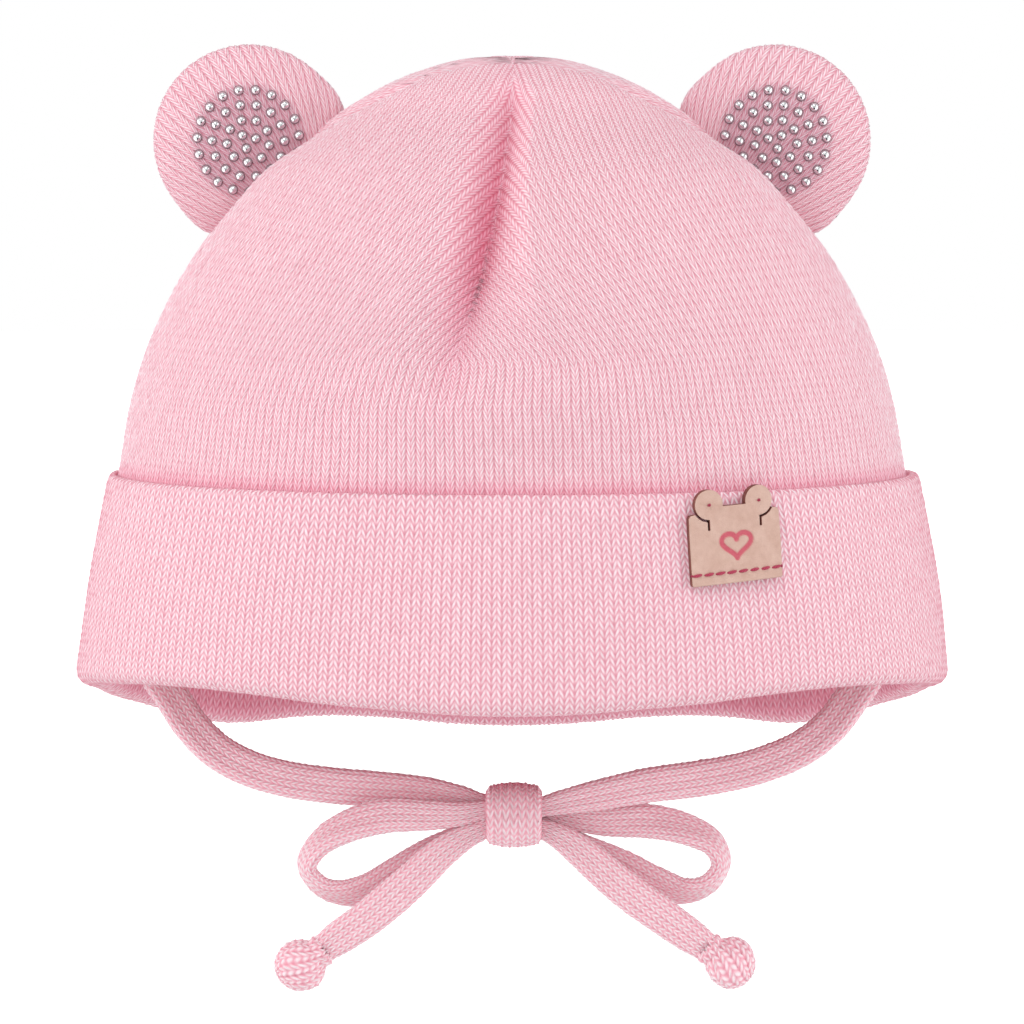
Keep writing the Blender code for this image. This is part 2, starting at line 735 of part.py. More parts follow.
def build_knot(finish):
    """A short wrapped band, open along X, with a lobe for each turn of knit."""
    columns, stations = KNOT_COLUMNS, 2 * KNOT_LOBES + 1
    rings = []
    for station in range(stations):
        along = station / (stations - 1)
        groove = KNOT_GROOVE / 2 * (1 + math.cos(2 * math.pi * KNOT_LOBES * along))
        barrel = 1 - KNOT_BARREL * abs(2 * along - 1) ** 2
        rings.append((along, barrel * (1 - groove)))
    inner = [(1.0, KNOT_HOLE_SHARE), (0.0, KNOT_HOLE_SHARE)]
    points = []
    for along, share in rings + inner:
        for c in range(columns):
            turn = 2 * math.pi * c / columns
            points.append((
                KNOT_CENTRE[0] + KNOT_WIDTH * (along - 0.5),
                KNOT_CENTRE[1] + KNOT_DEPTH / 2 * share * math.cos(turn),
                KNOT_CENTRE[2] + KNOT_HEIGHT / 2 * share * math.sin(turn),
            ))
    count = len(rings) + len(inner)
    faces = []
    for ring in range(count):
        here, there = ring * columns, (ring + 1) % count * columns
        for c in range(columns):
            after = (c + 1) % columns
            faces.append((here + c, here + after, there + after, there + c))
    return mesh_object("bow_knot", points, faces, finish)


def build_ball(name, route, finish):
    """A ball on the free end of a tie, in line with its last stretch."""
    before, end = (Vector(row[:3]) for row in route[-2:])
    centre = end + (end - before).normalized() * (BALL_RADIUS + CLEARANCE)
    shape = bmesh.new()
    bmesh.ops.create_uvsphere(shape, u_segments=BALL_COLUMNS, v_segments=9, radius=BALL_RADIUS)
    for vert in shape.verts:
        vert.co += centre
    mesh = bpy.data.meshes.new(name)
    shape.to_mesh(mesh)
    shape.free()
    mesh.shade_smooth()
    mesh.materials.append(finish)
    ball = bpy.data.objects.new(name, mesh)
    bpy.context.scene.collection.objects.link(ball)
    return ball


def main():
    clear_scene()
    knit = material("pink knit", (0.80, 0.45, 0.52), 0.85)
    cuff_knit = material("pink cuff knit", (0.76, 0.40, 0.48), 0.85)
    cord_knit = material("pink cord knit", (0.80, 0.44, 0.52), 0.85)
    metal = material("polished studs", (0.75, 0.75, 0.78), 0.15, 1.0)
    leather = material("natural leather", (0.72, 0.50, 0.38), 0.60)
    envelope = build_crown_envelope()
    build_crown(knit)
    build_brim(cuff_knit)
    for side, word in ((-1, "left"), (1, "right")):
        build_ear("ear_" + word, side, envelope, knit)
        build_stud_field("stud_field_" + word, side, envelope, metal)
    build_tag(leather)
    build_tie("chin_tie_left", LEFT_TIE_ROUTE, cord_knit)
    build_tie("chin_tie_right", RIGHT_TIE_ROUTE, cord_knit)
    build_knot(cord_knit)
    build_ball("tie_ball_left", LEFT_TIE_ROUTE, cord_knit)
    build_ball("tie_ball_right", RIGHT_TIE_ROUTE, cord_knit)


main()
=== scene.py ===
"""Looks of the baby hat with ears: stitched knit, studs, leather tag, chin ties, light and camera.

Metres, +Z up, front towards -Y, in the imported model's frame. Every knit piece is laid out stitch by stitch: its
grid follows the wales and courses, and the legs of each stitch stand out of it.
"""

import logging
import math
from collections.abc import Callable
from dataclasses import dataclass, field
from enum import Enum

import bmesh
import bpy
import numpy as np
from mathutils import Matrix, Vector


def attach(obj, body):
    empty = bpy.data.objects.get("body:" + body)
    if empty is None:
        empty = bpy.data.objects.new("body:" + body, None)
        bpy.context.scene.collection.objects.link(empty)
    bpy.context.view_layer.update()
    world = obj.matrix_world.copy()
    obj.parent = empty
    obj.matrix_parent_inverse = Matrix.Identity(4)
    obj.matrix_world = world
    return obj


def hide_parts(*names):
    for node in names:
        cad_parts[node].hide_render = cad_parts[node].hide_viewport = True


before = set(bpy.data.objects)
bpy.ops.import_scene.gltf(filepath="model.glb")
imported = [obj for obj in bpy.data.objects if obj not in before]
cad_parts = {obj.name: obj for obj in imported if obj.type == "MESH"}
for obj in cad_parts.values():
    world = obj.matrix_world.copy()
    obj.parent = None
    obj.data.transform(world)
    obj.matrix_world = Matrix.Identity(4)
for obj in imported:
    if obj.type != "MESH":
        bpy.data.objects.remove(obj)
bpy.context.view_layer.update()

BODY = "root"
COUNTS_MAP = "stitch"
LOG = logging.getLogger("baby_hat")

Array = np.ndarray
Colour = tuple[float, float, float]
Surface = Callable[[Array, Array], tuple[Array, Array, Array]]


def srgb(red: int, green: int, blue: int) -> Colour:
    """Turns a display colour into the linear colour that a shader takes.

    Args:
        red: Red from 0 to 255.
        green: Green from 0 to 255.
        blue: Blue from 0 to 255.

    Returns:
        The linear colour.
    """

    def channel(value: int) -> float:
        """One channel made linear."""
        share = value / 255
        return share / 12.92 if share <= 0.04045 else ((share + 0.055) / 1.055) ** 2.4

    return channel(red), channel(green), channel(blue)


def smooth_step(value: Array, low: float, high: float) -> Array:
    """Eases from 0 at low to 1 at high.

    Args:
        value: The values to ease.
        low: Where the ease begins.
        high: Where it ends.

    Returns:
        The eased values, from 0 to 1.
    """
    share = np.clip((value - low) / (high - low), 0.0, 1.0)
    return share * share * (3 - 2 * share)


def smooth_curve(rows: Array, places: Array) -> Array:
    """Reads a table's rows along one smooth curve, as the model's source does.

    Args:
        rows: The table, a row for each point.
        places: Places from 0 to 1 of the curve's length.

    Returns:
        A row for each place.
    """
    rows = np.asarray(rows, float)
    steps = np.sqrt(np.linalg.norm(np.diff(rows[:, :3], axis=0), axis=1))
    knots = np.concatenate([[0.0], np.cumsum(steps)])
    slopes = np.gradient(rows, knots, axis=0)
    at = np.clip(places, 0.0, 1.0) * knots[-1]
    i = np.clip(np.searchsorted(knots, at) - 1, 0, len(knots) - 2)
    span = (knots[i + 1] - knots[i])[:, None]
    s = (at - knots[i])[:, None] / span
    return (
        (2 * s**3 - 3 * s**2 + 1) * rows[i]
        + (s**3 - 2 * s**2 + s) * span * slopes[i]
        + (3 * s**2 - 2 * s**3) * rows[i + 1]
        + (s**3 - s**2) * span * slopes[i + 1]
    )


def unit(vectors: Array) -> Array:
    """Scales each vector to a length of 1.

    Args:
        vectors: Vectors along the last axis.

    Returns:
        The unit vectors. One of no length points up.
    """
    length = np.linalg.norm(vectors, axis=-1, keepdims=True)
    up = np.zeros_like(vectors)
    up[..., 2] = 1.0
    return np.where(length > 1e-12, vectors / np.maximum(length, 1e-12), up)


def running_length(points: Array) -> Array:
    """Measures along a line of points.

    Args:
        points: The line's points in order.

    Returns:
        The length run at each point.
    """
    return np.concatenate([[0.0], np.cumsum(np.linalg.norm(np.diff(points, axis=0), axis=1))])


def read_rows(at: Array | float, run: Array, rows: Array) -> Array:
    """Reads a table's columns at places along its run, a row for each place."""
    return np.stack([np.interp(at, run, column) for column in rows.T], axis=-1)


def facing(place: Callable[..., Array], first: Array, second: Array, steps: tuple[float, float]) -> Array:
    """Finds a face's normals by small steps over it.

    Args:
        place: Gives the face's points for two numbers each.
        first: The first numbers, such as turns.
        second: The second numbers, such as levels.
        steps: How far to step either way in the first and in the second.

    Returns:
        The unit normals.
    """
    along = place(first + steps[0], second) - place(first - steps[0], second)
    upward = place(first, second + steps[1]) - place(first, second - steps[1])
    return unit(np.cross(along, upward))


class Ink:
    """An output socket of a graph, with the arithmetic that the finishes use."""

    def __init__(self, graph: "Graph", socket: bpy.types.NodeSocket) -> None:
        """Keeps the socket and the graph that it belongs to."""
        self.graph = graph
        self.socket = socket

    def __add__(self, other: "Ink | float") -> "Ink":
        """Adds."""
        return self.graph.math("ADD", self, other)

    def __radd__(self, other: float) -> "Ink":
        """Adds, with a number on the left."""
        return self.graph.math("ADD", other, self)

    def __sub__(self, other: "Ink | float") -> "Ink":
        """Subtracts."""
        return self.graph.math("SUBTRACT", self, other)

    def __rsub__(self, other: float) -> "Ink":
        """Subtracts from a number."""
        return self.graph.math("SUBTRACT", other, self)

    def __mul__(self, other: "Ink | float") -> "Ink":
        """Multiplies."""
        return self.graph.math("MULTIPLY", self, other)

    def __rmul__(self, other: float) -> "Ink":
        """Multiplies, with a number on the left."""
        return self.graph.math("MULTIPLY", other, self)

    def __pow__(self, other: float) -> "Ink":
        """Raises to a power."""
        return self.graph.math("POWER", self, other)

    def wave(self) -> "Ink":
        """A wave from 0 to 1 and back for each whole number."""
        return 0.5 - 0.5 * self.graph.math("COSINE", self * (2 * math.pi))

    def whole(self) -> "Ink":
        """The number rounded down."""
        return self.graph.math("FLOOR", self)

    def clamp(self, low: float, high: float) -> "Ink":
        """Maps low to 0 and high to 1 and holds it between them."""
        return self.graph.node(
            "ShaderNodeMapRange", {}, {"Value": self, "From Min": low, "From Max": high}
        )


class Graph:
    """A node tree, and the one way its nodes are made."""

    def __init__(self, owner: bpy.types.Material | bpy.types.World) -> None:
        """Turns on the owner's nodes."""
        owner.use_nodes = True
        self.tree = owner.node_tree

    def node(
        self,
        kind: str,
        settings: dict[str, object],
        inputs: dict[str | int, object],
        output: str | int = 0,
    ) -> Ink:
        """Makes a node.

        Args:
            kind: The node's type.
            settings: Its properties, set first. "stops" lists a ramp's places and colours.
            inputs: Values or links by socket name or number.
            output: The output that is wanted.

        Returns:
            That output.
        """
        made = self.tree.nodes.new(kind)
        for key, value in settings.items():
            if key == "stops":
                ramp = made.color_ramp
                while len(ramp.elements) < len(value):
                    ramp.elements.new(0.5)
                for element, (place, colour) in zip(ramp.elements, value):
                    element.position = place
                    element.color = (*colour, 1.0)
            else:
                setattr(made, key, value)
        for key, value in inputs.items():
            if isinstance(value, Ink):
                self.link(value, made.inputs[key])
            else:
                made.inputs[key].default_value = value
        return Ink(self, made.outputs[output])

    def math(self, operation: str, *values: "Ink | float") -> Ink:
        """Makes a Math node on one or two values."""
        return self.node("ShaderNodeMath", {"operation": operation}, dict(enumerate(values)))

    def link(self, value: Ink, socket: bpy.types.NodeSocket) -> None:
        """Links a value to a socket."""
        self.tree.links.new(value.socket, socket)


class Shader(Graph):
    """A material on one principled surface."""

    def __init__(self, name: str, plain: dict[str, object]) -> None:
        """Starts the material.

        Args:
            name: Its name.
            plain: The surface's values that are the same all over, by socket name.
        """
        self.material = bpy.data.materials.new(name)
        super().__init__(self.material)
        self.surface = self.tree.nodes["Principled BSDF"].inputs
        for socket, value in plain.items():
            self.surface[socket].default_value = value

    def blend(
        self, share: "Ink | float", first: "Ink | Colour", second: "Ink | Colour", mode: str = "MIX"
    ) -> Ink:
        """Mixes two colours.

        Args:
            share: How much of the second.
            first: The first colour.
            second: The second colour.
            mode: How the second is laid on the first.

        Returns:
            The mixed colour.
        """
        sides = [value if isinstance(value, Ink) else (*value, 1.0) for value in (first, second)]
        return self.node(
            "ShaderNodeMix",
            {"data_type": "RGBA", "blend_type": mode},
            {0: share, 6: sides[0], 7: sides[1]},
            2,
        )

    def grain(self, where: Ink, scale: float, detail: float = 2.0, output: str | int = 0) -> Ink:
        """Noise at a scale, in features for each metre."""
        return self.node(
            "ShaderNodeTexNoise", {}, {"Vector": where, "Scale": scale, "Detail": detail}, output
        )

    def place(self) -> Ink:
        """The place on the object, in metres."""
        return self.node("ShaderNodeTexCoord", {}, {}, "Object")

    def stitch_counts(self) -> list[Ink]:
        """The two counts, across and along, that the mesh's map carries."""
        counts = self.node("ShaderNodeUVMap", {"uv_map": COUNTS_MAP}, {})
        return [self.node("ShaderNodeSeparateXYZ", {}, {0: counts}, axis) for axis in "XY"]

    def attribute(self, name: str) -> Ink:
        """A number that the mesh carries."""
        return self.node("ShaderNodeAttribute", {"attribute_name": name}, {}, "Fac")

    def feed(self, socket: str, value: Ink) -> None:
        """Links a value to the surface's socket."""
        self.link(value, self.surface[socket])

    def relief(self, height: Ink, distance: float) -> None:
        """Feeds a bump of that distance into the surface's normal."""
        self.feed("Normal", self.node(
            "ShaderNodeBump", {}, {"Height": height, "Distance": distance, "Strength": 1.0}, "Normal"
        ))


@dataclass(frozen=True)
class KnitFinish:
    """Soft cotton knit: lighter strands over darker gaps, with a painted highlight on the strands' tops and painted
    shade in the gaps and holes.

    Attributes:
        name: The material's name.
        strand: Colour of the strands.
        bright: Colour of the strands' lightest fibres, laid on the legs' tops: partly a painted highlight.
        gap: Colour in the gaps between them and in the holes: partly the yarn's deeper colour, partly painted shade.
        relief: Depth of the fine relief, in metres.
        legs: How strongly the stitch's own legs are drawn over the geometry.
        drift: Fineness of the strands' wander across, and how far it goes, in wales.
        wander: Fineness of their wander along, and how far it goes, in courses.
        fibre_scale: How fine the fibres are.
        backing_and_stud_shade: What the colour is multiplied by where the mesh's "shade" is 1: the studs' backing tint
            and painted shade between the studs.
        painted_fold_shade: What it is multiplied by where the mesh's "fold" is 1: painted shade in folds and inside
            the hat.
        calmed: How much of the relief is gone where the mesh's "calm" is 1.
    """

    name: str
    strand: Colour
    bright: Colour
    gap: Colour
    relief: float = 0.00013
    legs: float = 1.0
    drift: tuple[float, float] = (520.0, 0.08)
    wander: tuple[float, float] = (760.0, 0.22)
    fibre_scale: float = 2600.0
    backing_and_stud_shade: Colour = (0.78, 0.69, 0.74)
    painted_fold_shade: Colour = (0.96, 0.60, 0.71)
    calmed: float = 0.95

    def make(self) -> bpy.types.Material:
        """Builds the material, which reads stitch counts from the mesh's map."""
        shader = Shader(self.name, {
            "Roughness": 0.82,
            "Specular IOR Level": 0.25,
            "Sheen Weight": 0.02,
            "Sheen Roughness": 0.45,
            "Sheen Tint": (1.0, 0.90, 0.93, 1.0),
        })
        across, along = shader.stitch_counts()
        where = shader.place()
        drift = shader.grain(where, self.drift[0]) - 0.5
        wander = shader.grain(where, self.wander[0], 1.0) - 0.5
        across = across + drift * self.drift[1]
        along = along + wander * self.wander[1]
        legs = (across * 2.0).wave()
        strand = along.wave()
        edge = 1.0 - across.wave()
        body = (0.38 + 0.62 * legs ** 0.5) * (0.26 + 0.74 * strand ** 0.7)
        hole = edge ** 5.0 * (1.0 - 0.65 * strand)
        plies = (along * 3.0 + across * 2.0).wave()
        fibre = shader.grain(where, self.fibre_scale, 3.0)
        leg = shader.node("ShaderNodeCombineXYZ", {}, {0: (across * 2.0).whole(), 1: along.whole()})
        fleck = shader.node("ShaderNodeTexWhiteNoise", {"noise_dimensions": "2D"}, {"Vector": leg})
        lift = body + (fibre - 0.5) * 0.30 + (fleck - 0.5) * 0.12
        # Painted highlight and shade: the colour follows the legs' height, lighter on their tops and darker in the
        # gaps and holes.
        tone = shader.blend(lift.clamp(0.10, 0.72), self.gap, self.strand)
        tone = shader.blend(lift.clamp(0.66, 1.06), tone, self.bright)
        tone = shader.blend(hole * 0.90, tone, self.gap)
        # Round the studs: the backing's mauve tint and painted shade between the studs.
        tone = shader.blend(shader.attribute("shade"), tone, self.backing_and_stud_shade, "MULTIPLY")
        # Painted shade: darker and rosier in the front crease, behind the cuff's top edge and inside the hat.
        tone = shader.blend(shader.attribute("fold"), tone, self.painted_fold_shade, "MULTIPLY")
        shader.feed("Base Color", tone)
        shader.feed("Roughness", 0.74 + fibre * 0.20)
        height = body * self.legs + plies * 0.08 + fibre * 0.20 - hole * 0.55
        shader.relief(height * (1.0 - self.calmed * shader.attribute("calm")), self.relief)
        return shader.material


@dataclass(frozen=True)
class MetalFinish:
    """Polished metal with faint handling marks.

    Attributes:
        name: The material's name.
        tint: The metal's colour.
        roughness: Its mean roughness.
    """

    name: str
    tint: Colour
    roughness: float

    def make(self) -> bpy.types.Material:
        """Builds the material."""
        shader = Shader(self.name, {"Roughness": self.roughness, "Metallic": 1.0})
        where = shader.place()
        smear = shader.grain(where, 1400.0, 3.0)
        spot = shader.grain(where, 5200.0, 2.0)
        dull = tuple(value * 0.82 for value in self.tint)
        shader.feed("Base Color", shader.blend(smear.clamp(0.35, 0.75), self.tint, dull))
        shader.feed("Roughness", self.roughness + smear * 0.08 + spot * 0.05)
        shader.relief(spot, 0.000006)
        return shader.material


@dataclass(frozen=True)
class LeatherFinish:
    """Natural leather with a fine grain, or its burnt cut edge.

    Attributes:
        name: The material's name.
        pale: Colour of the grain's tops.
        deep: Colour of its creases.
        mark: Colour of the pressed motif.
    """

    name: str
    pale: Colour
    deep: Colour
    mark: Colour

    def make(self) -> bpy.types.Material:
        """Builds the material. The mesh's own number "mark" is 1 in the pressed motif."""
        shader = Shader(self.name, {"Roughness": 0.58, "Specular IOR Level": 0.35})
        where = shader.place()
        cells = shader.node(
            "ShaderNodeTexVoronoi",
            {"feature": "DISTANCE_TO_EDGE"},
            {"Vector": where, "Scale": 2300.0},
            "Distance",
        )
        pores = shader.grain(where, 3200.0, 3.0)
        blotch = shader.grain(where, 260.0, 3.0)
        fibre = shader.grain(where, 900.0, 4.0)
        crease = cells.clamp(0.0, 0.16)
        tone = shader.blend((blotch * 0.6 + fibre * 0.5).clamp(0.30, 0.85), self.pale, self.deep)
        tone = shader.blend((1.0 - crease) * 0.22, tone, self.deep)
        pressed = shader.attribute("mark")
        tone = shader.blend(pressed * (0.78 + 0.22 * pores), tone, self.mark)
        shader.feed("Base Color", tone)
        shader.feed("Roughness", 0.50 + blotch * 0.22 - pressed * 0.08)
        shader.relief(crease * 0.7 + pores * 0.5 + fibre * 0.5, 0.00005)
        return shader.material


@dataclass(frozen=True)
class ThreadFinish:
    """Waxed sewing thread with a visible twist.

    Attributes:
        name: The material's name.
        tint: The thread's colour.
        deep: The colour between its plies, painted shade.
    """

    name: str
    tint: Colour
    deep: Colour

    def make(self) -> bpy.types.Material:
        """Builds the material, which reads turns and length from the mesh's map."""
        shader = Shader(self.name, {"Roughness": 0.55, "Sheen Weight": 0.15})
        across, along = shader.stitch_counts()
        twist = (across * 2.0 + along * 3.0).wave()
        fibre = shader.grain(shader.place(), 6000.0, 2.0)
        # Painted shade between the plies, lighter on their crowns.
        lit = (twist * 0.7 + fibre * 0.4).clamp(0.1, 0.9)
        shader.feed("Base Color", shader.blend(lit, self.deep, self.tint))
        shader.feed("Roughness", 0.48 + fibre * 0.2)
        shader.relief(twist + fibre * 0.3, 0.00006)
        return shader.material


@dataclass
class Finishes:
    """Every finish of the hat, made once."""

    crown: bpy.types.Material = field(init=False)
    cuff: bpy.types.Material = field(init=False)
    lining: bpy.types.Material = field(init=False)
    cord: bpy.types.Material = field(init=False)
    stud: bpy.types.Material = field(init=False)
    setting: bpy.types.Material = field(init=False)
    leather: bpy.types.Material = field(init=False)
    leather_edge: bpy.types.Material = field(init=False)
    thread: bpy.types.Material = field(init=False)

    def __post_init__(self) -> None:
        """Makes the materials."""
        # The knit's tones: bright is partly a painted highlight, and gap is partly painted shade over the yarn's
        # deeper colour.
        strand, bright, gap = srgb(250, 215, 224), srgb(255, 238, 243), srgb(229, 151, 168)
        self.crown = KnitFinish("crown knit", strand, bright, gap).make()
        self.cuff = KnitFinish("cuff knit", strand, bright, gap).make()
        # The cord's knit is painted lighter than the crown's: painted light where the hat shades the ties.
        self.cord = KnitFinish("cord knit", srgb(255, 225, 232), srgb(255, 242, 246), srgb(243, 164, 182)).make()
        # The lining's strands are painted darker than the crown's: painted shade inside the hat.
        self.lining = KnitFinish("lining knit", srgb(244, 192, 204), strand, gap, 0.00022, 1.6).make()
        self.stud = MetalFinish("stud metal", (0.80, 0.80, 0.82), 0.09).make()
        # The setting's dark colour is painted shade round each stud's foot.
        self.setting = MetalFinish("stud setting", (0.30, 0.22, 0.24), 0.45).make()
        self.leather = LeatherFinish("tag leather", srgb(222, 188, 174), srgb(200, 160, 144), srgb(203, 74, 98)).make()
        self.leather_edge = LeatherFinish(
            "tag cut edge", srgb(150, 92, 78), srgb(104, 52, 48), srgb(104, 52, 48)
        ).make()
        self.thread = ThreadFinish("rose thread", srgb(206, 62, 96), srgb(140, 26, 56)).make()


def link_mesh(
    name: str,
    points: Array,
    faces: list[tuple[int, ...]] | Array,
    counts: Array | None,
    finish: bpy.types.Material,
) -> bpy.types.Object:
    """Makes a smooth mesh object.

    Args:
        name: The piece's name.
        points: Its points.
        faces: Its faces, as point numbers.
        counts: Two numbers for each point, for the map "stitch", or None.
        finish: Its material.

    Returns:
        The object, linked to the scene.
    """
    mesh = bpy.data.meshes.new(name)
    rows = faces.tolist() if isinstance(faces, np.ndarray) else faces
    mesh.from_pydata(points.tolist(), [], rows)
    mesh.shade_smooth()
    if counts is not None:
        corner_points = np.empty(len(mesh.loops), np.int32)
        mesh.loops.foreach_get("vertex_index", corner_points)
        layer = mesh.uv_layers.new(name=COUNTS_MAP)
        layer.data.foreach_set("uv", counts[corner_points].astype(np.float32).ravel())
    mesh.materials.append(finish)
    made = bpy.data.objects.new(name, mesh)
    bpy.context.scene.collection.objects.link(made)
    return made


def give_number(piece: bpy.types.Object, name: str, values: Array) -> None:
    """Stores one number for each of a mesh's points, under a name that its material reads."""
    layer = piece.data.attributes.new(name, "FLOAT", "POINT")
    layer.data.foreach_set("value", values.astype(np.float32))


def take_place(piece: bpy.types.Object, node: str, slot: str) -> None:
    """Rides a piece on the body in a CAD node's place, and hides that node."""
    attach(piece, BODY)
    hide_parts(node)


def places_of(piece: bpy.types.Object) -> Array:
    """A mesh's points, a row for each."""
    points = np.empty(len(piece.data.vertices) * 3)
    piece.data.vertices.foreach_get("co", points)
    return points.reshape(-1, 3)


@dataclass(frozen=True)
class Stitch:
    """How one stitch stands out of its sheet.

    Attributes:
        relief: How far a leg stands out, in metres.
        slant: How many courses a leg climbs from its wale's middle to its edge. Below 0, it hangs upside down.
        valley: How much deeper the gap between two wales is, as a share of relief.
        ragged: How uneven the stitches are, in metres.
        across: Points for each wale.
        along: Points for each course.
    """

    relief: float = 0.00015
    slant: float = 1.60
    valley: float = 0.70
    ragged: float = 0.00004
    across: int = 4
    along: int = 2


@dataclass
class KnitSheet:
    """A sheet of knit laid on a surface, a grid of legs that follows its wales and courses.

    Attributes:
        name: The piece's name.
        node: The CAD node in whose place it stands.
        slot: A name for its finish; not used.
        surface: Gives points, normals and what is kept, for wale and course counts.
        wales: First and last wale.
        courses: First and last course.
        finish: The knit's material.
        seed: Starts the unevenness.
        stitch: How a stitch stands out.
        closed: Whether the last wale meets the first.
    """

    name: str
    node: str
    slot: str
    surface: Surface
    wales: tuple[float, float]
    courses: tuple[float, float]
    finish: bpy.types.Material
    seed: int
    stitch: Stitch = Stitch()
    closed: bool = False

    def build(self) -> bpy.types.Object:
        """Lays the grid, lifts the legs and puts the sheet in its node's place.

        Returns:
            The sheet's object, with stitch counts in its map.
        """
        form = self.stitch
        columns = round((self.wales[1] - self.wales[0]) * form.across) + 1
        rows = round((self.courses[1] - self.courses[0]) * form.along) + 1
        wale, row = np.meshgrid(
            self.wales[0] + np.arange(columns) / form.across,
            self.courses[0] + np.arange(rows) / form.along,
        )
        edge = np.abs(2 * (wale - np.floor(wale)) - 1)
        course = row + form.slant * (edge - 0.5)
        points, normals, kept = self.surface(wale, course)
        legs = 0.5 - 0.5 * np.cos(4 * math.pi * wale)
        strand = 0.5 - 0.5 * np.cos(2 * math.pi * row)
        rise = legs * (0.50 + 0.50 * strand) - form.valley * edge**2 * (0.75 + 0.25 * (1 - strand))
        chance = np.random.default_rng(self.seed)
        jitter = chance.normal(0.0, 1.0, (rows, columns, 4))
        jitter[:, -1] = jitter[:, 0] = jitter[:, 0] * self.closed
        lift = form.relief * rise + form.ragged * jitter[..., 3]
        points = points + normals * lift[..., None] + form.ragged * 0.6 * jitter[..., :3]
        faces = self.faces(kept)
        facing = np.cross(np.gradient(points, axis=1), np.gradient(points, axis=0))
        if np.sum(np.sum(facing * normals, axis=-1) * kept) < 0:
            faces = faces[:, ::-1]
        used, renumbered = np.unique(faces, return_inverse=True)
        counts = np.column_stack([wale.ravel(), row.ravel()])
        joined = renumbered.reshape(faces.shape)
        sheet = link_mesh(self.name, points.reshape(-1, 3)[used], joined, counts[used], self.finish)
        take_place(sheet, self.node, self.slot)
        return sheet

    @staticmethod
    def faces(kept: Array) -> Array:
        """Joins the grid's points.

        Args:
            kept: Which points of the grid count. A face needs one of them.

        Returns:
            Four point numbers for each face.
        """
        rows, columns = kept.shape
        number = np.arange(rows * columns).reshape(rows, columns)
        square = np.stack([number[:-1, :-1], number[:-1, 1:], number[1:, 1:], number[1:, :-1]], axis=-1)
        holds = kept[:-1, :-1] | kept[:-1, 1:] | kept[1:, 1:] | kept[1:, :-1]
        return square[holds]


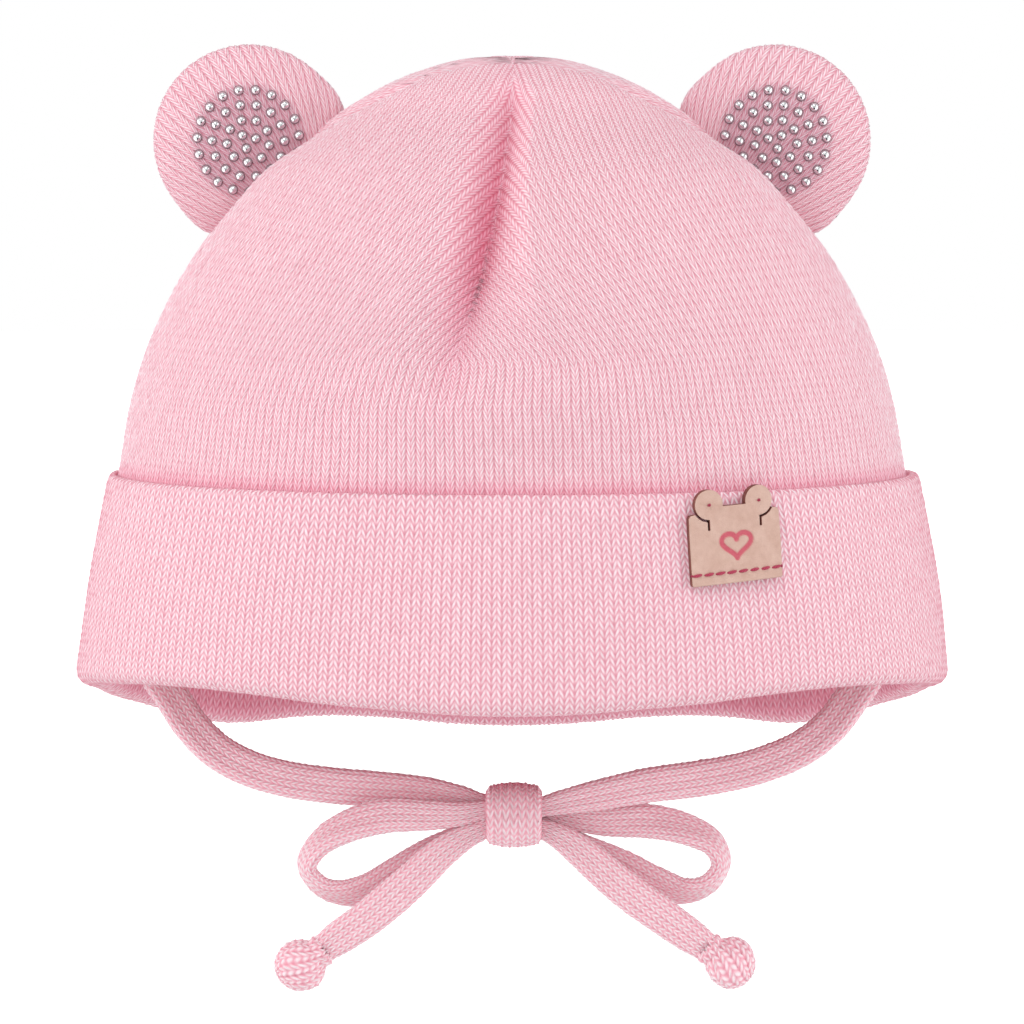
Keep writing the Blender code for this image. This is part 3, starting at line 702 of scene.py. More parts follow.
@dataclass
class HatForm:
    """The hat's worn form: the crown's outline, its folds and seams, and the drop of its back.

    The outline, the soft forms and the drop repeat the model's own. The crease is drawn finer.

    Attributes:
        folds_shares: Between these shares of the cuff's height the folds come in.
        seam_shares: Between these shares of the crown's height the seams come in.
        side_blend: How far from the middle the front's folds fade out, in metres.
        levels: How many levels the fine outline has.
        lip: The swell left of the crease: height by its depth, then place and width by its reach.
        ridge: The swell right of it, likewise.
        crease_round: How round the crease's bottom is, in metres.
        crease_shade_reach: How far the crease's painted shade goes to the left and to the right, in metres.
        shadow: How much painted shade the yarn gets in the gap behind the cuff's top edge.
        shadow_reach: From where to where it fades, above that edge.
        calm_heights: Between these heights the yarn's own relief fades.
        top_heights: Between these heights the folds flatten towards the point where the seams meet.
        top_calm: How much of them is gone there.
        fine: Height, half width and half depth at each level.
        run: The length run up the face at each level.
        index: The levels' numbers.
    """

    rim_half_width: float = 0.0896
    rim_half_depth: float = 0.0620
    crown_height: float = 0.1336
    rim_drop_most: float = 0.0150
    knit_wall: float = 0.0020
    clearance: float = 0.00035
    cuff_height: float = 0.0462
    folds_shares: tuple[float, float] = (1.00, 1.45)
    seam_shares: tuple[float, float] = (0.55, 0.72)
    # the side seam by height: how far it stands forward, and its valley's depth and half width, in millimetres
    side_seam: tuple[tuple[float, float, float, float], ...] = (
        (0.073, 0.0, 0.0, 4.5),
        (0.093, 0.0, 1.5, 4.5),
        (0.098, 1.6, 2.6, 4.8),
        (0.104, 2.6, 3.2, 5.0),
        (0.114, 3.4, 3.2, 4.8),
        (0.119, 5.0, 2.6, 4.2),
        (0.124, 8.6, 1.6, 3.2),
        (0.128, 10.4, 1.3, 2.6),
        (0.134, 11.0, 1.2, 2.4),
    )
    seam_depth: float = 0.0016
    seam_half_width: float = 0.0045
    stitch_tuck: float = 0.0011
    tuck_half_width: float = 0.0011
    soft_height: float = 0.0100
    side_blend: float = 0.016
    levels: int = 241
    # height, width, depth, as shares of the crown's height and the rim's half sizes
    outline: tuple[tuple[float, float, float], ...] = (
        (0.025, 1.000, 1.000),
        (0.187, 0.968, 0.985),
        (0.347, 0.924, 0.962),
        (0.474, 0.889, 0.938),
        (0.600, 0.822, 0.888),
        (0.695, 0.744, 0.824),
        (0.776, 0.656, 0.742),
        (0.826, 0.590, 0.672),
        (0.869, 0.498, 0.586),
        (0.913, 0.398, 0.480),
        (0.952, 0.300, 0.372),
        (0.978, 0.207, 0.262),
        (0.995, 0.113, 0.145),
        (1.000, 0.000, 0.000),
    )
    # height share, sideways share, then depth, reach to the left and reach to the right in millimetres
    crease: tuple[tuple[float, float, float, float, float], ...] = (
        (0.400, -0.150, 0.0, 9.0, 18.0),
        (0.470, -0.150, 0.8, 9.0, 20.0),
        (0.540, -0.130, 3.0, 8.0, 20.0),
        (0.620, -0.100, 6.4, 6.6, 14.5),
        (0.700, -0.070, 8.6, 6.2, 10.2),
        (0.780, -0.045, 8.2, 5.8, 7.0),
        (0.860, -0.022, 5.8, 5.2, 5.6),
        (0.930, -0.004, 3.6, 4.6, 4.8),
        (0.990, 0.006, 1.6, 3.6, 3.8),
    )
    # sideways, up, radius sideways, radius up, height, side: as in the model
    forms: tuple[tuple[float, float, float, float, float, int], ...] = (
        (0.00, 0.46, 0.34, 0.110, 0.34, -1),
        (-0.30, 0.70, 0.16, 0.150, 0.16, -1),
        (0.36, 0.66, 0.20, 0.160, 0.14, -1),
        (0.42, 0.44, 0.18, 0.070, -0.14, -1),
        (-0.46, 0.40, 0.22, 0.080, -0.12, -1),
        (0.00, 0.46, 0.40, 0.130, 0.20, 1),
        (-0.38, 0.62, 0.22, 0.160, 0.12, 1),
        (0.34, 0.60, 0.22, 0.150, 0.12, 1),
    )
    # sine of the turn, and how far the rim hangs down as a share of the most
    rim_line: tuple[tuple[float, float], ...] = (
        (-1.00, -0.07),
        (-0.96, -0.15),
        (-0.90, -0.20),
        (-0.83, -0.28),
        (-0.70, -0.33),
        (-0.55, -0.31),
        (-0.29, -0.21),
        (-0.05, -0.08),
        (0.15, 0.04),
        (0.28, 0.22),
        (0.45, 0.41),
        (0.58, 0.63),
        (0.70, 0.82),
        (0.76, 0.84),
        (0.85, 0.79),
        (0.91, 0.80),
        (0.96, 0.87),
        (1.00, 1.00),
    )
    lip: tuple[float, float, float] = (0.18, 1.6, 0.8)
    ridge: tuple[float, float, float] = (0.20, 1.05, 0.35)
    crease_round: float = 0.0010
    crease_shade_reach: tuple[float, float] = (0.0046, 0.0030)
    shadow: float = 0.60
    shadow_reach: tuple[float, float] = (-0.0005, 0.0040)
    calm_heights: tuple[float, float] = (0.118, 0.131)
    top_heights: tuple[float, float] = (0.1255, 0.1297)
    top_calm: float = 0.88
    rim_steps: int = 241
    rim_softness: int = 17
    fine: Array = field(init=False)
    run: Array = field(init=False)
    index: Array = field(init=False)
    sines: Array = field(init=False)
    hang: Array = field(init=False)

    def __post_init__(self) -> None:
        """Reads the outline once along its smooth curve, and softens the rim's line."""
        turns = np.linspace(-math.pi / 2, math.pi / 2, self.rim_steps)
        line = np.interp(np.sin(turns), *np.array(self.rim_line).T)
        kernel = np.hanning(self.rim_softness) / np.hanning(self.rim_softness).sum()
        padded = np.pad(line, self.rim_softness // 2, mode="reflect")
        self.sines, self.hang = np.sin(turns), np.convolve(padded, kernel, "valid")
        self.index = np.arange(self.levels)
        sizes = np.array([self.crown_height, self.rim_half_width, self.rim_half_depth])
        self.fine = smooth_curve(np.array(self.outline) * sizes, np.linspace(0, 1, self.levels))
        self.fine[-1, 1:] = 0.0
        middle = np.column_stack([self.fine[:, 0], self.fine[:, 1:].mean(axis=1)])
        self.run = running_length(middle)

    def outline_at(self, height: Array | float) -> tuple[Array, Array]:
        """Half width and half depth at a height, before folds and seams."""
        level = np.clip(height, self.fine[0, 0], self.fine[-1, 0])
        return tuple(np.interp(level, self.fine[:, 0], self.fine[:, k]) for k in (1, 2))

    def level_at_height(self, height: float) -> float:
        """The level, a place in the fine outline, at a height."""
        return float(np.interp(height, self.fine[:, 0], self.index))

    def run_at_height(self, height: float) -> float:
        """The length run up the face to a height."""
        return float(np.interp(self.level_at_height(height), self.index, self.run))

    def rim_drop(self, turn: Array, height: Array) -> Array:
        """How far the hat hangs lower towards the back, or arches up within the cuff."""
        share = np.interp(np.sin(turn), self.sines, self.hang)
        hanging = np.maximum(share, 0) * np.clip(1 - height / self.crown_height, 0, 1) ** 2
        arched = np.minimum(share, 0) * np.clip(1 - height / self.cuff_height, 0, 1) ** 2
        return self.rim_drop_most * (hanging + arched)

    def seam_sideways(self, height: Array) -> Array:
        """How far to the side the front crease runs at a height, in metres."""
        table = np.array(self.crease)
        return self.rim_half_width * np.interp(height / self.crown_height, table[:, 0], table[:, 1])

    def side_line(self, height: Array) -> tuple[Array, Array, Array]:
        """The side seam's place forward of the middle, and its valley's depth and half width, in metres."""
        table = np.array(self.side_seam)
        forward, deep, wide = (np.interp(height, table[:, 0], table[:, k]) * 1e-3 for k in (1, 2, 3))
        return -forward, deep, wide

    def side_turn(self, height: Array, half_depth: Array) -> Array:
        """How far round towards the front the side seam stands at a height."""
        line, _, _ = self.side_line(height)
        return np.arcsin(np.clip(line / np.maximum(half_depth, 1e-5), -1, 0))

    def fold(self, x: Array, y: Array, z: Array) -> Array:
        """How far seams, crease and soft forms press the face in."""
        up = z / self.crown_height
        table = np.array(self.crease)
        free = smooth_step(z / self.cuff_height, *self.folds_shares)
        front = smooth_step(-y, 0.0, self.side_blend)
        back = smooth_step(y, 0.0, self.side_blend)
        ramp = smooth_step(up, *self.seam_shares)
        line, valley, wide = self.side_line(z)
        sides = valley * np.exp(-(((y - line) / wide) ** 2))
        rear = self.seam_depth * ramp * np.exp(-((x / self.seam_half_width) ** 2)) * smooth_step(y, -0.006, 0.006)
        depth = np.maximum(sides, rear)
        tuck_sides = ramp * np.exp(-(((y - line) / self.tuck_half_width) ** 2))
        tuck_rear = ramp * np.exp(-((x / self.tuck_half_width) ** 2)) * smooth_step(y - line, -0.001, 0.001)
        away = x - self.seam_sideways(z)
        ahead = smooth_step(line - y, -0.001, 0.001)
        tuck_front = np.exp(-((away / self.tuck_half_width) ** 2)) * ahead * smooth_step(up, 0.55, 0.68)
        depth = depth + self.stitch_tuck * np.maximum(np.maximum(tuck_sides, tuck_rear), tuck_front)
        deep, left, right = (np.interp(up, table[:, 0], table[:, k]) * 1e-3 for k in (2, 3, 4))
        over = np.exp(-(np.abs(away / left) ** 1.8))
        rounded = np.hypot(away, self.crease_round) - self.crease_round
        beyond = np.clip(1 - rounded / right, 0, 1) ** 1.8
        depth = depth + deep * front * np.where(away < 0, over, beyond)
        lip = np.exp(-(((away + self.lip[1] * left) / (self.lip[2] * left)) ** 2))
        ridge = np.exp(-(((away - self.ridge[1] * right) / (self.ridge[2] * right)) ** 2))
        depth = depth - front * deep * (self.lip[0] * lip + self.ridge[0] * ridge)
        for sideways, height, wide, tall, swell, side in self.forms:
            gone = ((x / self.rim_half_width - sideways) / wide) ** 2 + ((up - height) / tall) ** 2
            depth = depth - self.soft_height * swell * np.exp(-gone) * (front if side < 0 else back)
        return depth * free * (1 - self.top_calm * smooth_step(z, *self.top_heights))

    def crease_shade(self, points: Array) -> Array:
        """How deep in the front crease points lie, from 0 to 1, for the painted shade there."""
        table = np.array(self.crease)
        up = points[:, 2] / self.crown_height
        deep = np.interp(up, table[:, 0], table[:, 2]) / table[:, 2].max()
        away = points[:, 0] - self.seam_sideways(points[:, 2])
        near = np.exp(-(np.abs(away) / np.where(away < 0, *self.crease_shade_reach)) ** 1.6)
        return near * deep * smooth_step(-points[:, 1], 0.0, self.side_blend)

    def shadowed(self, points: Array) -> Array:
        """How deep points lie in the gap behind the cuff's top edge, from 0 to 1, for the painted shade there."""
        turn = np.arctan2(points[:, 1] / self.rim_half_depth, points[:, 0] / self.rim_half_width)
        height = points[:, 2] + self.rim_drop(turn, points[:, 2])
        return self.shadow * (1 - smooth_step(height - self.cuff_height, *self.shadow_reach))

    def plain(self, turn: Array, level: Array) -> Array:
        """The crown's face with no folds."""
        at = np.clip(level, 0, self.levels - 1)
        height, wide, deep = np.moveaxis(read_rows(at, self.index, self.fine), -1, 0)
        return np.stack(
            [wide * np.cos(turn), deep * np.sin(turn), height - self.rim_drop(turn, height)], axis=-1
        )

    def folded(self, turn: Array, level: Array, lift: float = 0.0) -> Array:
        """The crown's face with its folds, a lift outside it."""
        here = self.plain(turn, level)
        normal = facing(self.plain, turn, level, (1e-3, 0.5))
        return here + normal * (lift - self.fold(here[..., 0], here[..., 1], here[..., 2]))[..., None]

    def face(self, turn: Array, level: Array, lift: float = 0.0) -> tuple[Array, Array]:
        """Points and true normals of the folded face.

        Args:
            turn: Angles round the hat.
            level: Places in the fine outline.
            lift: How far outside the face.

        Returns:
            Points and normals.
        """
        return self.folded(turn, level, lift), facing(self.folded, turn, level, (4e-3, 0.7))

    def covers(self, points: Array, margin: float) -> Array:
        """Whether points lie inside the crown's form by more than a margin."""
        wide, deep = self.outline_at(points[..., 2] + margin)
        wide, deep = np.maximum(wide - margin, 1e-4), np.maximum(deep - margin, 1e-4)
        return (points[..., 0] / wide) ** 2 + (points[..., 1] / deep) ** 2 < 1


class Quarter(Enum):
    """The crown's four sewn panels: their side, and whether they are at the back."""

    FRONT_LEFT = (-1, False)
    FRONT_RIGHT = (1, False)
    BACK_LEFT = (-1, True)
    BACK_RIGHT = (1, True)


@dataclass
class CrownPanel:
    """One quarter of the crown. Its wales lean towards the middle seam as they rise and end in the seams.

    Attributes:
        form: The hat's form.
        quarter: Which panel.
        wales: How many wales it has at its foot.
        lean: Height, and how fast the wales near there drift towards the middle seam.
        course: A course's height, in metres.
        straight: A wale's least width, from the upper of two heights on.
        meet: The heights between which the least width comes in. Below, the panels' edges meet row by row.
        pivot: How far from the middle seam the courses keep their height where they tilt, in metres.
        tilt: How much of the wales' lean the courses follow, to stay square to them.
        reach: How far from the pivot the courses go on tilting.
        guide: Where the guiding wale stands, as a share of the panel's width from the middle seam.
        foot: The height of its lowest row, inside the cuff.
        turned_in: How far its edge goes on past a seam, dipping under its neighbour, in metres.
        turned_share: The most of this, as a share of the crown's radius there.
        dip: How much the edge dips for each metre past the seam.
        square_in: From how far below the lean's start to how far above it the courses come to tilt.
        smooth_radii: Between these radii round the top the stitches come to stand out.
        top_gap: How far from the top the panel ends, under the cap.
        steps: Steps across a ring of a front and of a back panel.
    """

    form: HatForm
    quarter: Quarter
    wales: int
    lean: tuple[tuple[float, float], ...]
    course: float = 0.00128
    straight: float = 0.00199
    meet: tuple[float, float] = (0.072, 0.092)
    pivot: float = 0.030
    tilt: float = 0.66
    reach: float = 0.036
    guide: float = 0.60
    foot: float = 0.0385
    turned_in: float = 0.0014
    turned_share: float = 0.25
    dip: float = 0.55
    square_in: tuple[float, float] = (-0.002, 0.050)
    smooth_radii: tuple[float, float] = (0.0040, 0.0220)
    top_gap: float = 0.0012
    steps: tuple[int, int] = (181, 241)
    full: Array = field(init=False)
    guide_run: Array = field(init=False)
    least: Array = field(init=False)
    slope: Array = field(init=False)

    def __post_init__(self) -> None:
        """Measures the panel's width and the guiding wale's place at every level."""
        form = self.form
        self.full = np.array([self.ring(level)[1][-1] for level in range(form.levels)])
        heights = form.fine[:, 0]
        table = np.array(self.lean)
        rate = np.interp(heights, table[:, 0], table[:, 1])
        bend = int(np.searchsorted(heights, table[0, 0]))
        self.guide_run = self.guide * self.full
        drift = np.cumsum(rate * np.gradient(heights))
        self.guide_run[bend:] = self.guide_run[bend] - (drift[bend:] - drift[bend])
        low = int(np.searchsorted(heights, self.meet[0]))
        middle = self.guide * self.wales
        tight = min(
            float((self.guide_run[: low + 1] / middle).min()),
            float(((self.full - self.guide_run)[: low + 1] / (self.wales - middle)).min()),
        )
        self.least = np.interp(heights, self.meet, (tight * 0.995, self.straight))
        self.slope = self.tilt * rate * smooth_step(heights - table[0, 0], *self.square_in)

    def ring(self, level: float) -> tuple[Array, Array]:
        """Turns across the panel at a level, and the distance run from its middle seam."""
        height, wide, deep = (float(size) for size in read_rows(level, self.form.index, self.form.fine))
        side, back = self.quarter.value
        seam = float(self.form.side_turn(height, deep))
        end = seam if side > 0 else -math.pi - seam
        if back:
            turns = np.linspace(math.pi / 2, end if side > 0 else end + 2 * math.pi, self.steps[back])
        else:
            aside = self.form.seam_sideways(height) / max(wide, 1e-5)
            lean = math.asin(float(np.clip(aside, -0.5, 0.5)))
            turns = np.linspace(lean - math.pi / 2, end, self.steps[back])
        line = np.column_stack([wide * np.cos(turns), deep * np.sin(turns)])
        return turns, running_length(line)

    def surface(self, wale: Array, course: Array) -> tuple[Array, Array, Array]:
        """Places stitches on the crown. Past a seam they dip under the next panel.

        Args:
            wale: Wale counts from the middle seam.
            course: Course counts from the foot.

        Returns:
            Points, normals, and whether each place lies between the seams or just past one.
        """
        form, index = self.form, self.form.index
        even = form.run_at_height(self.foot) + course * self.course
        away = self.reach * np.tanh((wale * self.straight - self.pivot) / self.reach)
        tilted = even + np.interp(even, form.run, self.slope) * away
        level = np.interp(tilted, form.run, index)
        middle = self.guide * self.wales

        def at_least(width: Array) -> Array:
            """The width, or the least width where it is more."""
            return 0.5 * (width + self.least + np.hypot(width - self.least, 0.00003))

        near = np.interp(level, index, at_least(self.guide_run / middle))
        far = np.interp(level, index, at_least((self.full - self.guide_run) / (self.wales - middle)))
        count = wale - middle
        across = np.interp(level, index, self.guide_run) + count * np.where(count < 0, near, far)
        below = np.floor(level).astype(int)
        part = level - below
        turn = np.zeros_like(wale)
        for step in np.unique(np.concatenate([below.ravel(), below.ravel() + 1])):
            turns, run = self.ring(float(min(step, form.levels - 1)))
            for lower, share in ((step, 1 - part), (step - 1, part)):
                here = below == lower
                past = np.minimum(across[here], 0) + np.maximum(across[here] - run[-1], 0)
                rate = (turns[-1] - turns[0]) / max(run[-1], 0.001)
                beyond = np.clip(past * rate, -0.3, 0.3)
                turn[here] += share[here] * (np.interp(across[here], run, turns) + beyond)
        over = np.maximum(-across, 0) + np.maximum(across - np.interp(level, index, self.full), 0)
        points, normals = form.face(turn, level)
        round_about = np.interp(level, index, form.fine[:, 1:].mean(axis=1))
        inward = np.minimum(self.turned_in, self.turned_share * round_about)
        points = points - normals * self.dip * np.minimum(over, inward)[..., None]
        standing = smooth_step(round_about, *self.smooth_radii)[..., None]
        return points, normals * standing, (over < inward) & (tilted < form.run[-1] - self.top_gap)

    def build(self, finish: bpy.types.Material) -> bpy.types.Object:
        """Builds the panel and puts it in the crown's place."""
        form = self.form
        spare = float(self.slope.max()) * self.pivot
        rows = math.floor((form.run[-1] - form.run_at_height(self.foot) + spare) / self.course)
        panel = KnitSheet(
            "crown_panel_" + self.quarter.name.lower(),
            "crown",
            "crown_knit",
            self.surface,
            (0, self.wales),
            (0, rows),
            finish,
            seed=11 + list(Quarter).index(self.quarter),
        ).build()
        places = places_of(panel)
        # Painted shade in the front crease and behind the cuff's top edge.
        give_number(panel, "fold", np.maximum(form.crease_shade(places), form.shadowed(places)))
        give_number(panel, "calm", smooth_step(places[:, 2], *form.calm_heights))
        return panel


@dataclass
class Crown:
    """The crown: four stitched panels, a small cap where their seams meet, and the lining face inside.

    Attributes:
        form: The hat's form.
        lining_columns: Faces round the lining.
        lining_rows: Rows of its points from the foot to the top.
        lining_counts: Wales round the lining, and courses for each level.
        lining_painted_shade: How much painted shade the inside gets.
        top_spare: How many levels short of the top the lining and the cap stop.
        cap_reach: The cap's radius, in metres.
        cap_lift: How far it stands on the panels.
        cap_wales: Wales round the cap.
        cap_rows: Courses from its edge to the top.
        cap_relief: How much of their relief its stitches keep.
    """

    form: HatForm
    lining_columns: int = 120
    lining_rows: int = 56
    lining_counts: tuple[float, float] = (192, 0.55)
    lining_painted_shade: float = 0.8
    top_spare: float = 1.6
    cap_reach: float = 0.0050
    cap_lift: float = 0.00015
    cap_wales: int = 20
    cap_rows: int = 6
    cap_relief: float = 0.1

    def build_lining(self, finish: bpy.types.Material) -> bpy.types.Object:
        """Builds the inner face of the knit, a wall inside the outer one."""
        level, column = np.meshgrid(
            np.linspace(0, self.form.levels - self.top_spare, self.lining_rows),
            np.arange(self.lining_columns + 1),
            indexing="ij",
        )
        turn = 2 * math.pi * column / self.lining_columns
        points = self.form.folded(turn, level, -self.form.knit_wall * 0.9)
        round_about, upward = self.lining_counts
        counts = np.stack([column * round_about / self.lining_columns, level * upward], axis=-1)
        faces = KnitSheet.faces(np.ones(turn.shape, bool))[:, ::-1]
        lining = link_mesh("crown_lining", points.reshape(-1, 3), faces, counts.reshape(-1, 2), finish)
        # Painted shade over the whole inside.
        give_number(lining, "fold", np.full(turn.size, self.lining_painted_shade))
        take_place(lining, "crown", "crown_knit")
        return lining

    def build_cap(self, finish: bpy.types.Material) -> bpy.types.Object:
        """Builds the small knitted cap over the point where the seams meet."""
        form = self.form
        top = form.levels - self.top_spare
        circle = np.linspace(0, 2 * math.pi, 24, endpoint=False)
        centre = form.face(circle, np.full(24, top), self.cap_lift)[0].mean(axis=0)

        def place(wale: Array, course: Array) -> tuple[Array, Array, Array]:
            """Places stitches round the top, the cap's edge sunk into the panels."""
            share = np.clip(course / self.cap_rows, 0, 1)
            run = form.run[-1] - self.cap_reach * (1 - share)
            level = np.minimum(np.interp(run, form.run, form.index), top)
            lift = self.cap_lift * np.clip(8 * share - 1, -0.5, 1)
            points, normals = form.face(2 * math.pi * wale / self.cap_wales, level, lift)
            closing = smooth_step(share, 0.88, 1.0)[..., None]
            points = points + (centre - points) * closing
            return points, normals * self.cap_relief, np.ones(wale.shape, bool)

        round_about, upward = (0, self.cap_wales), (0, self.cap_rows)
        cap = KnitSheet(
            "crown_top_cap", "crown", "crown_knit", place, round_about, upward, finish, seed=19, closed=True
        ).build()
        give_number(cap, "calm", np.ones(len(cap.data.vertices)))
        return cap

    def build(self, finishes: Finishes) -> list[bpy.types.Object]:
        """Builds the panels, the cap at the top and the lining."""
        left = (
            (0.060, 0.22), (0.072, 0.36), (0.085, 0.48), (0.100, 0.54), (0.110, 0.60), (0.122, 0.60), (0.134, 0.5)
        )
        right = (
            (0.060, 0.40), (0.072, 0.66), (0.085, 0.82), (0.100, 0.82), (0.110, 0.66), (0.122, 0.55), (0.134, 0.5)
        )
        rear = ((0.060, 0.36), (0.072, 0.50), (0.085, 0.60), (0.100, 0.65), (0.115, 0.60), (0.134, 0.5))
        plan = {
            Quarter.FRONT_LEFT: (49, left),
            Quarter.FRONT_RIGHT: (63, right),
            Quarter.BACK_LEFT: (56, rear),
            Quarter.BACK_RIGHT: (56, rear),
        }
        pieces = [CrownPanel(self.form, panel, *made).build(finishes.crown) for panel, made in plan.items()]
        return pieces + [self.build_cap(finishes.crown), self.build_lining(finishes.lining)]


@dataclass
class Cuff:
    """The turned-up cuff: over its top edge, down its face, round the rim and up inside.

    Attributes:
        form: The hat's form.
        wales: Wales round it.
        course: A course's height, in metres.
        bead: How far below its top edge the roll begins.
        leg_inside: How high the leg inside goes.
        tuck: How far it goes down behind its top edge.
        wave: How far its face waves.
        waves: Waves round it, where they start, and their shares.
        steps: Points along its section.
        softness: How many of them are evened out together.
        inside: From how far past the rim to how far its painted shade comes in.
        inside_painted_shade: How much painted shade it gets there.
    """

    form: HatForm
    wales: int = 232
    course: float = 0.00156
    bead: float = 0.0013
    leg_inside: float = 0.0160
    tuck: float = 0.0060
    wave: float = 0.00035
    waves: tuple[tuple[int, float, float], ...] = ((5, 0.8, 1.0), (9, 2.1, 0.7), (14, 0.0, 0.5))
    steps: int = 600
    softness: int = 15
    inside: tuple[float, float] = (0.0005, 0.0045)
    inside_painted_shade: float = 0.8

    def section(self) -> Array:
        """The cuff's face in section, as outward and height, from the tuck round to the leg inside."""

        def arc(centre: tuple[float, float], radius: float, turns: Array) -> list[tuple[float, float]]:
            """Points on an arc."""
            return [(centre[0] + radius * math.cos(t), centre[1] + radius * math.sin(t)) for t in turns]

        form = self.form
        half = form.knit_wall / 2
        face = form.clearance + form.knit_wall
        behind = form.clearance * 0.6
        middle = half - form.knit_wall
        top = form.cuff_height
        roll = (face - behind) / 2
        line = [(behind, top - self.tuck), (behind, top - 1.5 * self.bead)]
        line += arc((face - roll, top - roll), roll, np.linspace(math.pi, 0, 7))
        line += [(face + 0.0001, top * 0.80), (face + 0.0002, top * 0.45), (face + 0.0001, top * 0.16)]
        line += arc((middle, face + half), face + half, -np.linspace(0, math.pi, 13))
        inner = middle - face
        line.append((inner - half, self.leg_inside - form.knit_wall))
        line += arc((inner, self.leg_inside), half, np.linspace(math.pi, 0, 5))
        run = running_length(np.array(line))
        fine = read_rows(np.linspace(0, run[-1], self.steps), run, np.array(line))
        kernel = np.ones(self.softness) / self.softness
        padded = np.pad(fine, ((self.softness // 2,) * 2, (0, 0)), mode="edge")
        return np.column_stack([np.convolve(column, kernel, "valid") for column in padded.T])

    def surface(self, wale: Array, course: Array) -> tuple[Array, Array, Array]:
        """Places stitches on the cuff. Courses count down from the tuck.

        Args:
            wale: Wale counts round the cuff from the back.
            course: Course counts along the section.

        Returns:
            Points, normals, and that all are kept.
        """
        form = self.form
        line = self.section()
        run = running_length(line)
        angles = np.linspace(math.pi / 2, math.pi / 2 - 2 * math.pi, 721)
        ring = np.column_stack([form.rim_half_width * np.cos(angles), form.rim_half_depth * np.sin(angles)])
        ring_run = running_length(ring)
        turn = np.interp(wale / self.wales * ring_run[-1], ring_run, angles)
        at = np.clip(course * self.course, 0, run[-1])

        def place(angle: Array, where: Array) -> Array:
            """A point of the cuff's face."""
            outward, height = np.moveaxis(read_rows(where, run, line), -1, 0)
            wide, deep = form.outline_at(height)
            beside = np.stack([np.cos(angle) / wide, np.sin(angle) / deep], axis=-1)
            beside = beside / np.linalg.norm(beside, axis=-1, keepdims=True)
            ripple = sum(share * np.sin(count * angle + start) for count, start, share in self.waves)
            outer = smooth_step(outward, 0.0010, 0.0022)
            outward = outward + self.wave * ripple * outer * smooth_step(height, 0.0, 0.02)
            x = wide * np.cos(angle) + outward * beside[..., 0]
            y = deep * np.sin(angle) + outward * beside[..., 1]
            return np.stack([x, y, height - form.rim_drop(angle, height)], axis=-1)

        return place(turn, at), facing(place, turn, at, (2e-3, 2e-4)), np.ones(wale.shape, bool)

    def build(self, finishes: Finishes) -> bpy.types.Object:
        """Builds the cuff and puts it in the brim's place."""
        line = self.section()
        run = running_length(line)
        cuff = KnitSheet(
            "turned_up_cuff",
            "brim",
            "cuff_knit",
            self.surface,
            (0, self.wales),
            (0, math.floor(run[-1] / self.course)),
            finishes.cuff,
            seed=23,
            stitch=Stitch(relief=0.00016, slant=1.1),
            closed=True,
        ).build()
        counts = np.empty(len(cuff.data.loops) * 2)
        cuff.data.uv_layers[COUNTS_MAP].data.foreach_get("uv", counts)
        corner = np.empty(len(cuff.data.loops), np.int32)
        cuff.data.loops.foreach_get("vertex_index", corner)
        along = np.zeros(len(cuff.data.vertices))
        along[corner] = counts[1::2] * self.course
        past_rim = along - run[int(np.argmin(line[:, 1]))]
        # Painted shade on the cuff's inside, past the rim.
        give_number(cuff, "fold", self.inside_painted_shade * smooth_step(past_rim, *self.inside))
        return cuff


